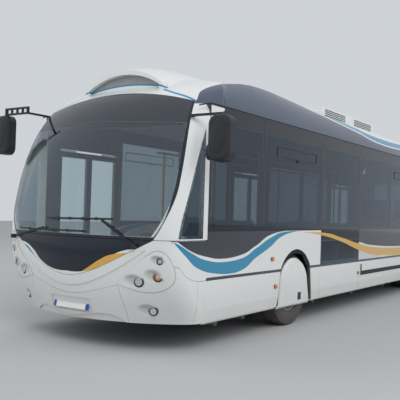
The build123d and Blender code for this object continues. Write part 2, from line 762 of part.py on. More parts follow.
# The domed cap over the windscreen, back to the start of the roof
with BuildPart() as dome_inside:
    add(nose_inner)
    add(roof_bar(NOSE_SKIN + SEAT_GAP, GUTTER - 1, (NOSE_Y - 1, NOSE_BACK_Y + 1)), mode=Mode.INTERSECT)

with BuildPart() as front_roof_cap:
    add(dome_outside.part)
    add(dome_inside.part, mode=Mode.SUBTRACT)
    with BuildSketch(Plane.XZ):
        windscreen_outline(-SCREEN_REBATE)
    extrude(amount=LENGTH, mode=Mode.SUBTRACT)
    add(windscreen.part, mode=Mode.SUBTRACT)
    add(roof_fairings.part, mode=Mode.SUBTRACT)
keep(front_roof_cap, "front_roof_cap")

# The tail: plan outline with rounded corners, closed by window, hatch and bumper
TAIL_SKIN = 50
TAIL_CORNER = 240
BUMPER_TOP = 470
HATCH_REACH = (480, 1352)
HATCH_HALF = 900
TAIL_WINDOW = (1500, 2380)
TAIL_WINDOW_HALF = 990
TAIL_LAMP_X = 1085
TAIL_LAMPS = [(620, 55), (760, 55), (900, 55), (1040, 55), (2480, 45)]
LAMP_DEPTH = 30


def tail_body(inset, z):
    """The solid tail with rounded corners in plan."""
    half = HALF - inset
    with BuildPart() as body:
        with BuildSketch(Plane.XY.offset(z[0])):
            with Locations((0, REAR_JOIN_Y)):
                Rectangle(2 * half, 2 * (TAIL_Y - inset - REAR_JOIN_Y))
        extrude(amount=z[1] - z[0])
        corners = body.edges().filter_by(Axis.Z).group_by(Axis.Y)[-1]
        fillet(corners, TAIL_CORNER - inset)
        slab((-half, half), (REAR_JOIN_Y, TAIL_Y), z, Mode.INTERSECT)
    return body.part


# The hatch hangs from two hinges whose pins turn in lugs of the shell
HINGE_RADIUS = 13
HINGE_PIN = 8
HINGE_BORE = 0.05
HATCH_AXIS = (TAIL_Y - 25, HATCH_REACH[1] - 18)
HINGES = (-600, 600)
HINGE_HALF = 40
LUG_REACH = (HINGE_HALF + 1, HINGE_HALF + 21)

shell_outside = tail_body(0, (BUMPER_TOP + PANEL_GAP, GUTTER))
shell_inside = tail_body(TAIL_SKIN, (BUMPER_TOP + PANEL_GAP, GUTTER))
with BuildPart() as rear_shell:
    add(shell_outside)
    add(shell_inside, mode=Mode.SUBTRACT)
    slab((-HATCH_HALF, HATCH_HALF), (REAR_JOIN_Y, TAIL_Y), HATCH_REACH, Mode.SUBTRACT)
    for hinge_x in HINGES:
        for sign in (-1, 1):
            lug = (hinge_x + sign * LUG_REACH[0], hinge_x + sign * LUG_REACH[1])
            lug_y = (HATCH_AXIS[0] - HINGE_RADIUS, HATCH_AXIS[0] + HINGE_RADIUS)
            slab(lug, lug_y, (HATCH_AXIS[1] - HINGE_RADIUS, HATCH_REACH[1] + 5))
            cross_rod(lug, *HATCH_AXIS, HINGE_PIN + HINGE_BORE, Mode.SUBTRACT)
    window_half = (-TAIL_WINDOW_HALF, TAIL_WINDOW_HALF)
    slab(window_half, (TAIL_Y - GLASS, TAIL_Y), TAIL_WINDOW, Mode.SUBTRACT)
    hole_half = (-TAIL_WINDOW_HALF + PANE_BORDER, TAIL_WINDOW_HALF - PANE_BORDER)
    hole = (TAIL_WINDOW[0] + PANE_BORDER, TAIL_WINDOW[1] - PANE_BORDER)
    slab(hole_half, (REAR_JOIN_Y, TAIL_Y), hole, Mode.SUBTRACT)
    for z, radius in TAIL_LAMPS:
        for side in (-1, 1):
            with Locations(Location((side * TAIL_LAMP_X, TAIL_Y - LAMP_DEPTH / 2, z), (90, 0, 0))):
                Cylinder(radius + 1, LAMP_DEPTH, mode=Mode.SUBTRACT)
keep(rear_shell, "rear_shell")

with BuildPart() as rear_lamps:
    for z, radius in TAIL_LAMPS:
        for side in (-1, 1):
            with Locations(Location((side * TAIL_LAMP_X, TAIL_Y - LAMP_DEPTH / 2, z), (90, 0, 0))):
                Cylinder(radius, LAMP_DEPTH)
keep(rear_lamps, "rear_lamps")

with BuildPart() as windows:
    side_windows(1, LEFT_PANES)
    side_windows(-1, RIGHT_PANES)
    glass_half = (-TAIL_WINDOW_HALF + 3, TAIL_WINDOW_HALF - 3)
    slab(glass_half, (TAIL_Y - GLASS, TAIL_Y), (TAIL_WINDOW[0] + 3, TAIL_WINDOW[1] - 3))
    add(quarter_windows.part)
keep(windows, "windows")

bumper_outside = tail_body(0, (SKIRT_BOTTOM, BUMPER_TOP))
bumper_inside = tail_body(TAIL_SKIN, (SKIRT_BOTTOM, BUMPER_TOP))
with BuildPart() as rear_bumper:
    add(bumper_outside)
    add(bumper_inside, mode=Mode.SUBTRACT)
keep(rear_bumper, "rear_bumper")

cap_outside = roof_bar(0, GUTTER, (REAR_JOIN_Y, TAIL_Y))
cap_plan = tail_body(0, (GUTTER, ROOF_CROWN))
cap_inside = roof_bar(FAIRING_SKIN + ROOF_SKIN, GUTTER, (REAR_JOIN_Y, TAIL_Y - TAIL_SKIN))
with BuildPart() as rear_roof_cap:
    add(cap_outside)
    add(cap_plan, mode=Mode.INTERSECT)
    add(cap_inside, mode=Mode.SUBTRACT)
keep(rear_roof_cap, "rear_roof_cap")

# Louvres of the hatch: middle height, pitch across and up, size of each, and their slope
LOUVRE_Z = 900
LOUVRE_SPACING = (540, 46)
LOUVRE_SIZE = (480, 16)
LOUVRE_TILT = 35

with BuildPart() as engine_hatch:
    hatch_half = (-HATCH_HALF + 6, HATCH_HALF - 6)
    slab(hatch_half, (TAIL_Y - 30, TAIL_Y), (HATCH_REACH[0] + 6, HATCH_AXIS[1] - 32))
    for hinge_x in HINGES:
        strap = (hinge_x - HINGE_HALF, hinge_x + HINGE_HALF)
        slab(strap, (TAIL_Y - 36, TAIL_Y - 12), (HATCH_AXIS[1] - 42, HATCH_AXIS[1]))
        cross_rod(strap, *HATCH_AXIS, HINGE_RADIUS)
        cross_rod((hinge_x - LUG_REACH[1], hinge_x + LUG_REACH[1]), *HATCH_AXIS, HINGE_PIN)
    with Locations(Plane(origin=(0, TAIL_Y - 15, LOUVRE_Z), x_dir=(1, 0, 0), z_dir=(0, -1, 0))):
        with GridLocations(LOUVRE_SPACING[0], LOUVRE_SPACING[1], 3, 7):
            Box(LOUVRE_SIZE[0], LOUVRE_SIZE[1], 60, rotation=(LOUVRE_TILT, 0, 0), mode=Mode.SUBTRACT)
keep(engine_hatch, "engine_hatch")

# Doors: each pair swings in on arms, with every leaf pinned at its middle to its arm
PANE_SKIN = 8
PIN_RADIUS = 8
BORE_CLEARANCE = 0.06
LEAF_X = (LEAF_PLANE_X - LEAF_THICK / 2, LEAF_PLANE_X + LEAF_THICK / 2)


def door_leaf(pivot_y, towards, arm):
    """A glazed leaf, closed, whose pins stand on its middle line."""
    near = pivot_y - towards * (PIVOT_INSET - LEAF_END_GAP)
    far = pivot_y + towards * (2 * arm - LEAF_MEET_GAP / 2)
    span = (min(near, far), max(near, far))
    pin_y = pivot_y + towards * arm
    with BuildPart() as leaf:
        slab(LEAF_X, span, LEAF_REACH)
        pocket = (span[0] + LEAF_FRAME, span[1] - LEAF_FRAME)
        height = (LEAF_REACH[0] + 1.6 * LEAF_FRAME, LEAF_REACH[1] - 1.6 * LEAF_FRAME)
        slab((LEAF_X[0] + PANE_SKIN, LEAF_X[1]), pocket, height, Mode.SUBTRACT)
        rod(LEAF_PLANE_X, pin_y, (LEAF_REACH[1], ARM_HIGH[1]), PIN_RADIUS)
        rod(LEAF_PLANE_X, pin_y, (ARM_LOW[0], LEAF_REACH[0]), PIN_RADIUS)
    return leaf


def door_arms(pivot_y, towards, arm):
    """The upper and lower arm of one leaf, from the post to the leaf's middle."""
    with BuildPart() as arms:
        for low, high in (ARM_LOW, ARM_HIGH):
            with BuildSketch(Plane.XY.offset(low)):
                with Locations(Location((LEAF_PLANE_X, pivot_y + towards * arm / 2), (0, 0, 90))):
                    SlotCenterToCenter(arm, ARM_WIDTH)
                with Locations((LEAF_PLANE_X, pivot_y)):
                    Circle(PIVOT_RADIUS + BORE_CLEARANCE, mode=Mode.SUBTRACT)
                with Locations((LEAF_PLANE_X, pivot_y + towards * arm)):
                    Circle(PIN_RADIUS + BORE_CLEARANCE, mode=Mode.SUBTRACT)
            extrude(amount=high - low)
    return arms


for door, centre, width in DOORWAYS:
    for end, towards in (("fore", 1), ("aft", -1)):
        pivot_y = centre - towards * (width / 2 - PIVOT_INSET)
        arm = (width / 2 - PIVOT_INSET) / 2
        leaf = door_leaf(pivot_y, towards, arm)
        keep(leaf, f"{door}_door_{end}_leaf")
        arms = door_arms(pivot_y, towards, arm)
        keep(arms, f"{door}_door_{end}_arms")

# Running gear: low beams under the floor, with the wheels carried outboard
BEAM_Z = (110, 195)
BEAM_WIDTH = 150
EYE_RADIUS = 46
EYE_HALF = 70
LUG_THICK = 34
LUG_GAP = 1
HUB_RADIUS = 118
REAR_END_X = (535, 605)
HUB_FACE = 40
SPINDLE_END = 70

with BuildPart() as front_axle:
    beam_y = (FRONT_AXLE_Y - BEAM_WIDTH / 2, FRONT_AXLE_Y + BEAM_WIDTH / 2)
    slab((-KINGPIN_X + 250, KINGPIN_X - 250), beam_y, BEAM_Z)
    for side in (-1, 1):
        with BuildSketch(Plane.XZ.offset(-FRONT_AXLE_Y)):
            with BuildLine():
                Polyline(
                    (side * (KINGPIN_X - 330), BEAM_Z[0]),
                    (side * (KINGPIN_X - 215), BEAM_Z[0]),
                    (side * (KINGPIN_X - 58), AXLE_Z - EYE_HALF + 8),
                    (side * KINGPIN_X, AXLE_Z - EYE_HALF + 8),
                    (side * KINGPIN_X, AXLE_Z + EYE_HALF - 8),
                    (side * (KINGPIN_X - 90), AXLE_Z + EYE_HALF - 8),
                    (side * (KINGPIN_X - 270), BEAM_Z[1]),
                    (side * (KINGPIN_X - 330), BEAM_Z[1]),
                    close=True,
                )
            make_face()
        extrude(amount=EYE_RADIUS * 0.8, both=True)
        rod(side * KINGPIN_X, FRONT_AXLE_Y, (AXLE_Z - EYE_HALF, AXLE_Z + EYE_HALF), EYE_RADIUS)
        pin = (AXLE_Z - EYE_HALF - LUG_THICK - LUG_GAP, AXLE_Z + EYE_HALF + LUG_THICK + LUG_GAP)
        rod(side * KINGPIN_X, FRONT_AXLE_Y, pin, KINGPIN_RADIUS)
        for y in (-55, 55):
            stand_y = (FRONT_AXLE_Y + y - 20, FRONT_AXLE_Y + y + 20)
            slab((side * 420 - 40, side * 420 + 40), stand_y, (BEAM_Z[1], 205))
keep(front_axle, "front_axle")

SPINDLE_OUT = FRONT_WHEEL_X + 40


def steering_knuckle(side):
    """Two lugs on the kingpin, joined outboard of the eye to a spindle."""
    outboard = side * (KINGPIN_X + EYE_RADIUS + 8)
    web = (outboard, outboard + side * 30)
    with BuildPart() as knuckle:
        for sign in (-1, 1):
            near = AXLE_Z + sign * (EYE_HALF + LUG_GAP)
            lug = (near, near + sign * LUG_THICK)
            rod(side * KINGPIN_X, FRONT_AXLE_Y, (min(lug), max(lug)), EYE_RADIUS)
            reach = (side * KINGPIN_X, web[1])
            slab(reach, (FRONT_AXLE_Y - 40, FRONT_AXLE_Y + 40), (min(lug), max(lug)))
        tall = (AXLE_Z - EYE_HALF - LUG_GAP - LUG_THICK, AXLE_Z + EYE_HALF + LUG_GAP + LUG_THICK)
        slab(web, (FRONT_AXLE_Y - 60, FRONT_AXLE_Y + 60), tall)
        rod(side * KINGPIN_X, FRONT_AXLE_Y, tall, KINGPIN_RADIUS + RUN_CLEARANCE, Mode.SUBTRACT)
        cross_rod((web[1], side * (FRONT_WHEEL_X + COVER_POST_X)), FRONT_AXLE_Y, AXLE_Z, SPINDLE_RADIUS)
    return knuckle


# The bulged cover over a front wheel stands on the spindle and steers with it
COVER_POST_X = 172
COVER_SKIN = 5
COVER_DEPTH = 44
COVER_BEVEL = 26
COVER_X = 1262
COVER_HALF = (463, 385)
COVER_Z = (262, 900)


def cover_outline(axle_y, shrink=0):
    """Side view of a wheel cover, flat below and round above."""
    low = COVER_HALF[0] - shrink
    high = COVER_HALF[1] - shrink
    foot = COVER_Z[0] + shrink
    shoulder = 640
    with BuildLine() as outline:
        Line((axle_y - low, foot), (axle_y + low, foot))
        Line((axle_y + low, foot), (axle_y + high, shoulder))
        ThreePointArc((axle_y + high, shoulder), (axle_y, COVER_Z[1] - shrink), (axle_y - high, shoulder))
        Line((axle_y - high, shoulder), (axle_y - low, foot))
    make_face(outline.edges())


def wheel_cover(side, axle_y):
    """A shallow tapered tray, open towards the wheel."""
    back = side * (COVER_X - COVER_DEPTH)
    knee = side * (COVER_X - COVER_BEVEL)
    with BuildPart() as cover:
        with BuildSketch(Plane.YZ.offset(back)):
            cover_outline(axle_y)
        extrude(amount=knee - back)
        with BuildSketch(Plane.YZ.offset(knee)):
            cover_outline(axle_y)
        with BuildSketch(Plane.YZ.offset(side * COVER_X)):
            cover_outline(axle_y, COVER_BEVEL)
        loft()
        with BuildSketch(Plane.YZ.offset(back)):
            cover_outline(axle_y, COVER_BEVEL + 4)
        extrude(amount=side * (COVER_DEPTH - COVER_SKIN), mode=Mode.SUBTRACT)
    return cover


for side, name in ((1, "left"), (-1, "right")):
    knuckle = steering_knuckle(side)
    keep(knuckle, f"{name}_knuckle")
    cover = wheel_cover(side, FRONT_AXLE_Y)
    with BuildPart() as front_cover:
        add(cover.part)
        post = (side * (FRONT_WHEEL_X + COVER_POST_X), side * (COVER_X - COVER_SKIN))
        cross_rod(post, FRONT_AXLE_Y, AXLE_Z, 60)
    keep(front_cover, f"{name}_front_wheel_cover")


def rim_profile(centre_x, side, disc_x):
    """Half section of a rim with a flat disc, drawn against the axle line."""
    half = RIM_WIDTH / 2
    lip = RIM_RADIUS
    well = RIM_RADIUS - 42
    bore = SPINDLE_RADIUS + RUN_CLEARANCE
    inner = centre_x - side * half
    outer = centre_x + side * half
    with BuildLine() as outline:
        Polyline(
            (inner, lip),
            (inner, lip - 14),
            (inner + side * 30, well - 12),
            (disc_x, well - 12),
            (disc_x, HUB_RADIUS),
            (disc_x - side * HUB_FACE, HUB_RADIUS),
            (disc_x - side * HUB_FACE, bore),
            (disc_x + side * HUB_FACE, bore),
            (disc_x + side * HUB_FACE, HUB_RADIUS),
            (disc_x + side * 16, HUB_RADIUS),
            (disc_x + side * 16, well - 12),
            (outer - side * 30, well - 12),
            (outer, lip - 14),
            (outer, lip),
            (outer - side * 12, lip),
            (outer - side * 34, well),
            (inner + side * 34, well),
            (inner + side * 12, lip),
            close=True,
        )
    make_face(outline.edges())


def wheel(centres, side, axle_y, disc_x):
    """Rims and hub turned about the axle, with a ring of hand holes in each disc."""
    with BuildPart() as rims:
        for centre_x in centres:
            plane = Plane(origin=(0, axle_y, AXLE_Z), x_dir=(1, 0, 0), z_dir=(0, -1, 0))
            with BuildSketch(plane):
                rim_profile(centre_x, side, disc_x)
            revolve(axis=Axis((0, axle_y, AXLE_Z), (1, 0, 0)))
        disc_plane = Plane(origin=(disc_x + side * 8, axle_y, AXLE_Z), x_dir=(0, 1, 0), z_dir=(1, 0, 0))
        with BuildSketch(disc_plane):
            with PolarLocations(205, 10):
                Circle(22)
        extrude(amount=30, both=True, mode=Mode.SUBTRACT)
    return rims


def tyre(centres, axle_y):
    """Tyres with round shoulders, turned about the axle."""
    with BuildPart() as tyres:
        for centre_x in centres:
            plane = Plane(origin=(0, axle_y, AXLE_Z), x_dir=(1, 0, 0), z_dir=(0, -1, 0))
            half = TYRE_WIDTH / 2
            tread = half - 22
            seat = RIM_WIDTH / 2 - 13
            with BuildSketch(plane):
                with BuildLine():
                    Line((centre_x - seat, RIM_RADIUS + SEAT_GAP), (centre_x + seat, RIM_RADIUS + SEAT_GAP))
                    ThreePointArc(
                        (centre_x + seat, RIM_RADIUS + SEAT_GAP),
                        (centre_x + half, RIM_RADIUS + 95),
                        (centre_x + tread, TYRE_RADIUS - 9),
                    )
                    ThreePointArc(
                        (centre_x + tread, TYRE_RADIUS - 9),
                        (centre_x, TYRE_RADIUS),
                        (centre_x - tread, TYRE_RADIUS - 9),
                    )
                    ThreePointArc(
                        (centre_x - tread, TYRE_RADIUS - 9),
                        (centre_x - half, RIM_RADIUS + 95),
                        (centre_x - seat, RIM_RADIUS + SEAT_GAP),
                    )
                make_face()
            revolve(axis=Axis((0, axle_y, AXLE_Z), (1, 0, 0)))
    return tyres


REAR_STUB_END = REAR_OUTER_X + 90
with BuildPart() as rear_axle:
    slab((-REAR_END_X[1], REAR_END_X[1]), (REAR_AXLE_Y - 90, REAR_AXLE_Y + 90), BEAM_Z)
    for side in (-1, 1):
        end_x = (side * REAR_END_X[0], side * REAR_END_X[1])
        slab(end_x, (REAR_AXLE_Y - 120, REAR_AXLE_Y + 120), (BEAM_Z[0], AXLE_Z + 120))
        cross_rod((side * REAR_END_X[1], side * REAR_STUB_END), REAR_AXLE_Y, AXLE_Z, SPINDLE_RADIUS)
        for y in (-55, 55):
            stand_y = (REAR_AXLE_Y + y - 20, REAR_AXLE_Y + y + 20)
            slab((side * 420 - 40, side * 420 + 40), stand_y, (BEAM_Z[1], 205))
keep(rear_axle, "rear_axle")

for side, name in ((1, "left"), (-1, "right")):
    centre = side * FRONT_WHEEL_X
    front_wheel = wheel([centre], side, FRONT_AXLE_Y, centre + side * 20)
    keep(front_wheel, f"front_{name}_wheel")
    front_tyre = tyre([centre], FRONT_AXLE_Y)
    keep(front_tyre, f"front_{name}_tyre")
    outer = side * REAR_OUTER_X
    inner = side * (REAR_OUTER_X - TWIN_SPACING)
    outer_rim = wheel([outer], side, REAR_AXLE_Y, outer - side * 75)
    inner_rim = wheel([inner], -side, REAR_AXLE_Y, inner + side * 75)
    with BuildPart() as rear_wheels:
        add(outer_rim.part)
        add(inner_rim.part)
        spacer = (side * (REAR_OUTER_X - 75 - HUB_FACE), side * (REAR_OUTER_X - TWIN_SPACING + 75 + HUB_FACE))
        cross_rod(spacer, REAR_AXLE_Y, AXLE_Z, HUB_RADIUS)
        cross_rod(spacer, REAR_AXLE_Y, AXLE_Z, SPINDLE_RADIUS + RUN_CLEARANCE, Mode.SUBTRACT)
    keep(rear_wheels, f"rear_{name}_wheels")
    rear_tyres = tyre([outer, inner], REAR_AXLE_Y)
    keep(rear_tyres, f"rear_{name}_tyres")

# Chassis under the floor, and the engine as one block in the left rear corner
RAIL_X = 420
RAIL_WIDTH = 80
RAIL_Z = (205, SILL[0])
JACKING_Y = (-4600, 1600)
JACKING_PAD = (110, 130, 12)

with BuildPart() as chassis:
    for side in (-1, 1):
        rail_x = (side * RAIL_X - RAIL_WIDTH / 2, side * RAIL_X + RAIL_WIDTH / 2)
        slab(rail_x, (FRONT_JOIN_Y + 100, REAR_JOIN_Y + 10), RAIL_Z)
        for y in JACKING_Y:
            with Locations((side * RAIL_X, y, RAIL_Z[0] - JACKING_PAD[2] / 2)):
                Box(*JACKING_PAD)
    for y in (-4900, -4300, -2350, -850, 680, 2205, 3735, 5000, 5650):
        slab((-RAIL_X, RAIL_X), (y - 40, y + 40), RAIL_Z)
        if abs(y - FRONT_AXLE_Y) > HOUSING_HALF + 50 and abs(y - REAR_AXLE_Y) > HOUSING_HALF + 50:
            slab((-FLOOR_X + 40, FLOOR_X - 40), (y - 30, y + 30), (RAIL_Z[0] + 15, RAIL_Z[1]))
keep(chassis, "chassis")

ENGINE = ((250, 1150), (5160, 5690), (RAIL_Z[1] + 100, 985))
with BuildPart() as engine:
    slab(*ENGINE)
    slab((330, 400), (ENGINE[1][0] + 60, ENGINE[1][1] - 60), (RAIL_Z[1], ENGINE[2][0]))
    fillet(engine.edges().filter_by(Axis.X), 12)
keep(engine, "engine")

# Driver's place
WHEEL_CENTRE = (560, -5180, 1120)
WHEEL_TILT = 25
WHEEL_RING = 225
RING_RADIUS = 14
SPOKE_HALF = 8

column_axis = (0, sin(radians(WHEEL_TILT)), cos(radians(WHEEL_TILT)))
column = Plane(origin=WHEEL_CENTRE, x_dir=(1, 0, 0), z_dir=column_axis)
SHAFT_RADIUS = 26
SHAFT_END = 165

with BuildPart() as dashboard:
    with BuildSketch(Plane.YZ.offset(-150)):
        with BuildLine():
            Polyline(
                (-5620, FLOOR_TOP),
                (-5480, FLOOR_TOP),
                (-5480, 700),
                (-5300, 960),
                (-5330, 1040),
                (-5560, 1110),
                (-5800, 1060),
                (-5800, 600),
                close=True,
            )
        make_face()
    extrude(amount=1250)
    add(nose_inner, mode=Mode.INTERSECT)
    slab((WHEEL_CENTRE[0] - 40, WHEEL_CENTRE[0] + 40), (-5460, -5280), (840, 930))
    with BuildSketch(column.offset(-60)):
        Circle(SHAFT_RADIUS + 20)
    extrude(amount=-260)
    with BuildSketch(column.offset(-60)):
        Circle(SHAFT_RADIUS + RUN_CLEARANCE)
    extrude(amount=60 - SHAFT_END, mode=Mode.SUBTRACT)
keep(dashboard, "dashboard")

with BuildPart() as steering_wheel:
    with Locations(column.location):
        Torus(WHEEL_RING - RING_RADIUS, RING_RADIUS)
    with BuildSketch(column):
        for turn in (30, 150, 270):
            with Locations(Location((0, 0, 0), (0, 0, turn))):
                with Locations((WHEEL_RING / 2, 0)):
                    Rectangle(WHEEL_RING - RING_RADIUS, 34)
        Circle(62)
    extrude(amount=SPOKE_HALF, both=True)
    with BuildSketch(column.offset(-SPOKE_HALF)):
        Circle(SHAFT_RADIUS)
    extrude(amount=SPOKE_HALF + 0.3 - SHAFT_END)
keep(steering_wheel, "steering_wheel")


# Side view of a seat, from the front of the cushion round to the back: y and z from its foot
SEAT_SHAPE = [
    (-232, 404),
    (-240, 448),
    (-214, 470),
    (100, 446),
    (158, 478),
    (212, 1004),
    (246, 1004),
    (236, 620),
    (176, 404),
]
SEAT_ROUNDING = 14


def seat(x, y, z, width):
    """A moulded seat that faces the nose, its cushion and back in one bent shell."""
    with BuildPart() as shell:
        with BuildSketch(Plane.YZ.offset(x - width / 2)) as side_view:
            with BuildLine():
                Polyline([(y + point_y, z + point_z) for point_y, point_z in SEAT_SHAPE], close=True)
            make_face()
            fillet(side_view.vertices(), SEAT_ROUNDING)
        extrude(amount=width)
    return shell.part


with BuildPart() as driver_seat:
    add(seat(WHEEL_CENTRE[0], WHEEL_CENTRE[1] + 520, FLOOR_TOP + 60, 500))
    rod(WHEEL_CENTRE[0], WHEEL_CENTRE[1] + 520, (FLOOR_TOP, FLOOR_TOP + 480), 90)
keep(driver_seat, "driver_seat")

with BuildPart() as cab_partition:
    slab((170, FLOOR_X - 5), (-4170, -4135), (FLOOR_TOP, 1350))
    slab((170, 205), (-4800, -4170), (FLOOR_TOP, 1250))
    rod(187, -4152, (1350, 2300), 17)
keep(cab_partition, "cab_partition")

# Passenger seats: y of the row, height its seats count from, the floor there, middle of each seat
SEAT_WIDTH = 430
WINDOW_SEAT = FLOOR_X - 12 - SEAT_WIDTH / 2
AISLE_SEAT = WINDOW_SEAT - SEAT_WIDTH - 6
SEAT_ROWS = [
    (-1750, FLOOR_TOP, FLOOR_TOP, (AISLE_SEAT, WINDOW_SEAT, -AISLE_SEAT, -WINDOW_SEAT)),
    (-950, FLOOR_TOP, FLOOR_TOP, (AISLE_SEAT, WINDOW_SEAT)),
    (-150, FLOOR_TOP, FLOOR_TOP, (AISLE_SEAT, WINDOW_SEAT)),
    (650, FLOOR_TOP, FLOOR_TOP, (AISLE_SEAT, WINDOW_SEAT)),
    (1450, FLOOR_TOP, FLOOR_TOP, (AISLE_SEAT, WINDOW_SEAT, -AISLE_SEAT, -WINDOW_SEAT)),
    (4100, FLOOR_TOP, FLOOR_TOP, (AISLE_SEAT, WINDOW_SEAT)),
    (5400, PLATFORM_TOP - 120, PLATFORM_TOP, (AISLE_SEAT, WINDOW_SEAT, -AISLE_SEAT, -WINDOW_SEAT, 0)),
]
with BuildPart() as passenger_seats:
    for y, base, floor_z, places in SEAT_ROWS:
        for x in places:
            add(seat(x, y, base, SEAT_WIDTH))
            slab((x - 90, x + 90), (y - 60, y + 60), (floor_z, base + 430))
keep(passenger_seats, "passenger_seats")

POLES = [
    (-440, -3850),
    (440, -3900),
    (-440, -2100),
    (440, -2100),
    (-440, 2150),
    (440, 340),
    (-440, 3720),
    (440, 2150),
]
RAIL_HEIGHT = 2265
with BuildPart() as handrails:
    for x, y in POLES:
        rod(x, y, (FLOOR_TOP, RAIL_HEIGHT), 17)
    for side in (-1, 1):
        slab((side * 440 - 16, side * 440 + 16), (-4000, 4800), (RAIL_HEIGHT - 16, RAIL_HEIGHT + 16))
keep(handrails, "handrails")

# Lamps: domed lenses in the cups, each seated on the frame behind its panel
LENS_DEPTH = 32
LENS_STAND = 2
LENS_ROUNDING = 9
with BuildPart() as front_lamps:
    for _, x, z, radius, turn in LAMP_ROWS:
        for side in (-1, 1):
            with BuildSketch(lamp_plane(side, x, z, turn, LENS_STAND)):
                Circle(radius)
            extrude(amount=-LENS_DEPTH)
            front = front_lamps.faces(Select.LAST).sort_by(Axis.Y)[0]
            fillet(front.edges(), LENS_ROUNDING)
    add(windscreen_frame.part, mode=Mode.SUBTRACT)
    add(nose_inner, mode=Mode.SUBTRACT)
keep(front_lamps, "front_lamps")

# Mirrors: both reach as far out, on a short arm at the left and a ladder arm at the right
MIRROR_REACH = 1675
MIRROR_ROUNDING = 45
LEFT_MIRROR = ((1412, MIRROR_REACH), (-5540, -5390), (1985, 2462))
RIGHT_MIRROR = ((-MIRROR_REACH, -1440), (-5745, -5605), (2110, 2600))
LEFT_ARM_ROOT = (1150, -5310, 2560)
RIGHT_ARM_ROOT = (-1120, -5330, 2560)

with BuildPart() as left_mirror:
    slab(*LEFT_MIRROR)
    fillet(left_mirror.edges().filter_by(Axis.Y), 100)
    fillet(left_mirror.faces().sort_by(Axis.Y)[0].edges(), MIRROR_ROUNDING)
    slab((1150, 1540), (-5480, -5450), (2462, 2486))
    slab((1150, 1180), (-5480, -5290), (2462, 2486))
    add(nose_outer, mode=Mode.SUBTRACT)
keep(left_mirror, "left_mirror")

with BuildPart() as right_mirror:
    slab(*RIGHT_MIRROR)
    fillet(right_mirror.edges().filter_by(Axis.Y), 90)
    fillet(right_mirror.faces().sort_by(Axis.Y)[0].edges(), MIRROR_ROUNDING)
    slab((-1560, -1530), (-5690, -5660), (2600, 2690))
    slab((-1560, -1130), (-5690, -5665), (2668, 2690))
    slab((-1560, -1130), (-5690, -5665), (2600, 2622))
    slab((-1160, -1130), (-5690, -5290), (2600, 2622))
    for x in (-1240, -1340, -1440):
        slab((x - 8, x + 8), (-5690, -5665), (2622, 2668))
    slab((-1160, -1130), (-5690, -5665), (2622, 2668))
    add(nose_outer, mode=Mode.SUBTRACT)
keep(right_mirror, "right_mirror")

# Wipers: pivot, end of the arm, and both ends of the blade, each as x, z
WIPERS = [
    ((861, 1110), (464, 1357), (571, 1369), (-341, 1353)),
    ((-1040, 1120), (-380, 1247), (-900, 1222), (230, 1231)),
]
WIPER_STAND = 36


def before_glass(point, stand):
    """A point that stands this far before the nose."""
    x, z = point
    return Vector(x, nose_front(abs(x), z) - stand, z)


with BuildPart() as wipers:
    for pivot, tip, blade_start, blade_end in WIPERS:
        root = before_glass(pivot, WIPER_STAND)
        with Locations(Location(before_glass(pivot, WIPER_STAND / 2), (90, 0, 0))):
            Cylinder(24, WIPER_STAND + 20)
        arm = before_glass(tip, WIPER_STAND) - root
        with BuildSketch(Plane(origin=root, x_dir=(0, 1, 0), z_dir=arm)):
            Rectangle(12, 26)
        extrude(amount=arm.length)
        ends = (before_glass(blade_start, 22), before_glass(blade_end, 22))
        middle = before_glass(((blade_start[0] + blade_end[0]) / 2, (blade_start[1] + blade_end[1]) / 2), 22)
        with BuildLine() as blade:
            ThreePointArc(ends[0], middle, ends[1])
        with BuildSketch(Plane(origin=blade.line @ 0, x_dir=(0, 1, 0), z_dir=blade.line % 0)):
            Rectangle(26, 20)
        sweep(path=blade.line)
    add(nose_outer, mode=Mode.SUBTRACT)
keep(wipers, "wipers")

with BuildPart() as destination_sign:
    slab((-800, 800), (-5230, -5130), (2440, 2660))
    for side in (-1, 1):
        slab((side * 765 - 25, side * 765 + 25), (-5130, -5060), (2500, 3000))
    add(nose_inner, mode=Mode.INTERSECT)
keep(destination_sign, "destination_sign")

# What stands on the roof: the front pod with its sunk face, and the air conditioner
POD_FOOT = 2800
POD_FACE_Y = -5250
POD_ROWS = [
    (POD_FACE_Y, 600, 3105),
    (-4900, 680, 3195),
    (-4480, 720, 3232),
    (-4100, 730, 3238),
    (-3300, 700, 3150),
]
POD_RIM = 55
POD_FACE_DEPTH = 60
AIR_UNIT = ((-850, 850), (-1500, 900), (2985, 3210))

with BuildPart() as roof_units:
    for y, half, crown in POD_ROWS:
        with BuildSketch(Plane.XZ.offset(-y)):
            with BuildLine():
                Line((-half, POD_FOOT), (-half, POD_FOOT + 100))
                ThreePointArc((-half, POD_FOOT + 100), (0, crown), (half, POD_FOOT + 100))
                Polyline((half, POD_FOOT + 100), (half, POD_FOOT), (-half, POD_FOOT))
            make_face()
    loft()
    with BuildSketch(Plane.XZ.offset(-POD_FACE_Y)):
        with BuildLine():
            inner = POD_ROWS[0][1] - POD_RIM
            Line((-inner, POD_FOOT), (-inner, POD_FOOT + 100))
            ThreePointArc((-inner, POD_FOOT + 100), (0, POD_ROWS[0][2] - POD_RIM), (inner, POD_FOOT + 100))
            Polyline((inner, POD_FOOT + 100), (inner, POD_FOOT), (-inner, POD_FOOT))
        make_face()
    extrude(amount=-POD_FACE_DEPTH, mode=Mode.SUBTRACT)
    slab(*AIR_UNIT)
    fillet(roof_units.edges().filter_by(Axis.Z).group_by(Axis.Y)[-1], 60)
    add(roof_under_fairing, mode=Mode.SUBTRACT)
    add(dome_outside.part, mode=Mode.SUBTRACT)
    add(dome_inside.part, mode=Mode.SUBTRACT)
keep(roof_units, "roof_units")
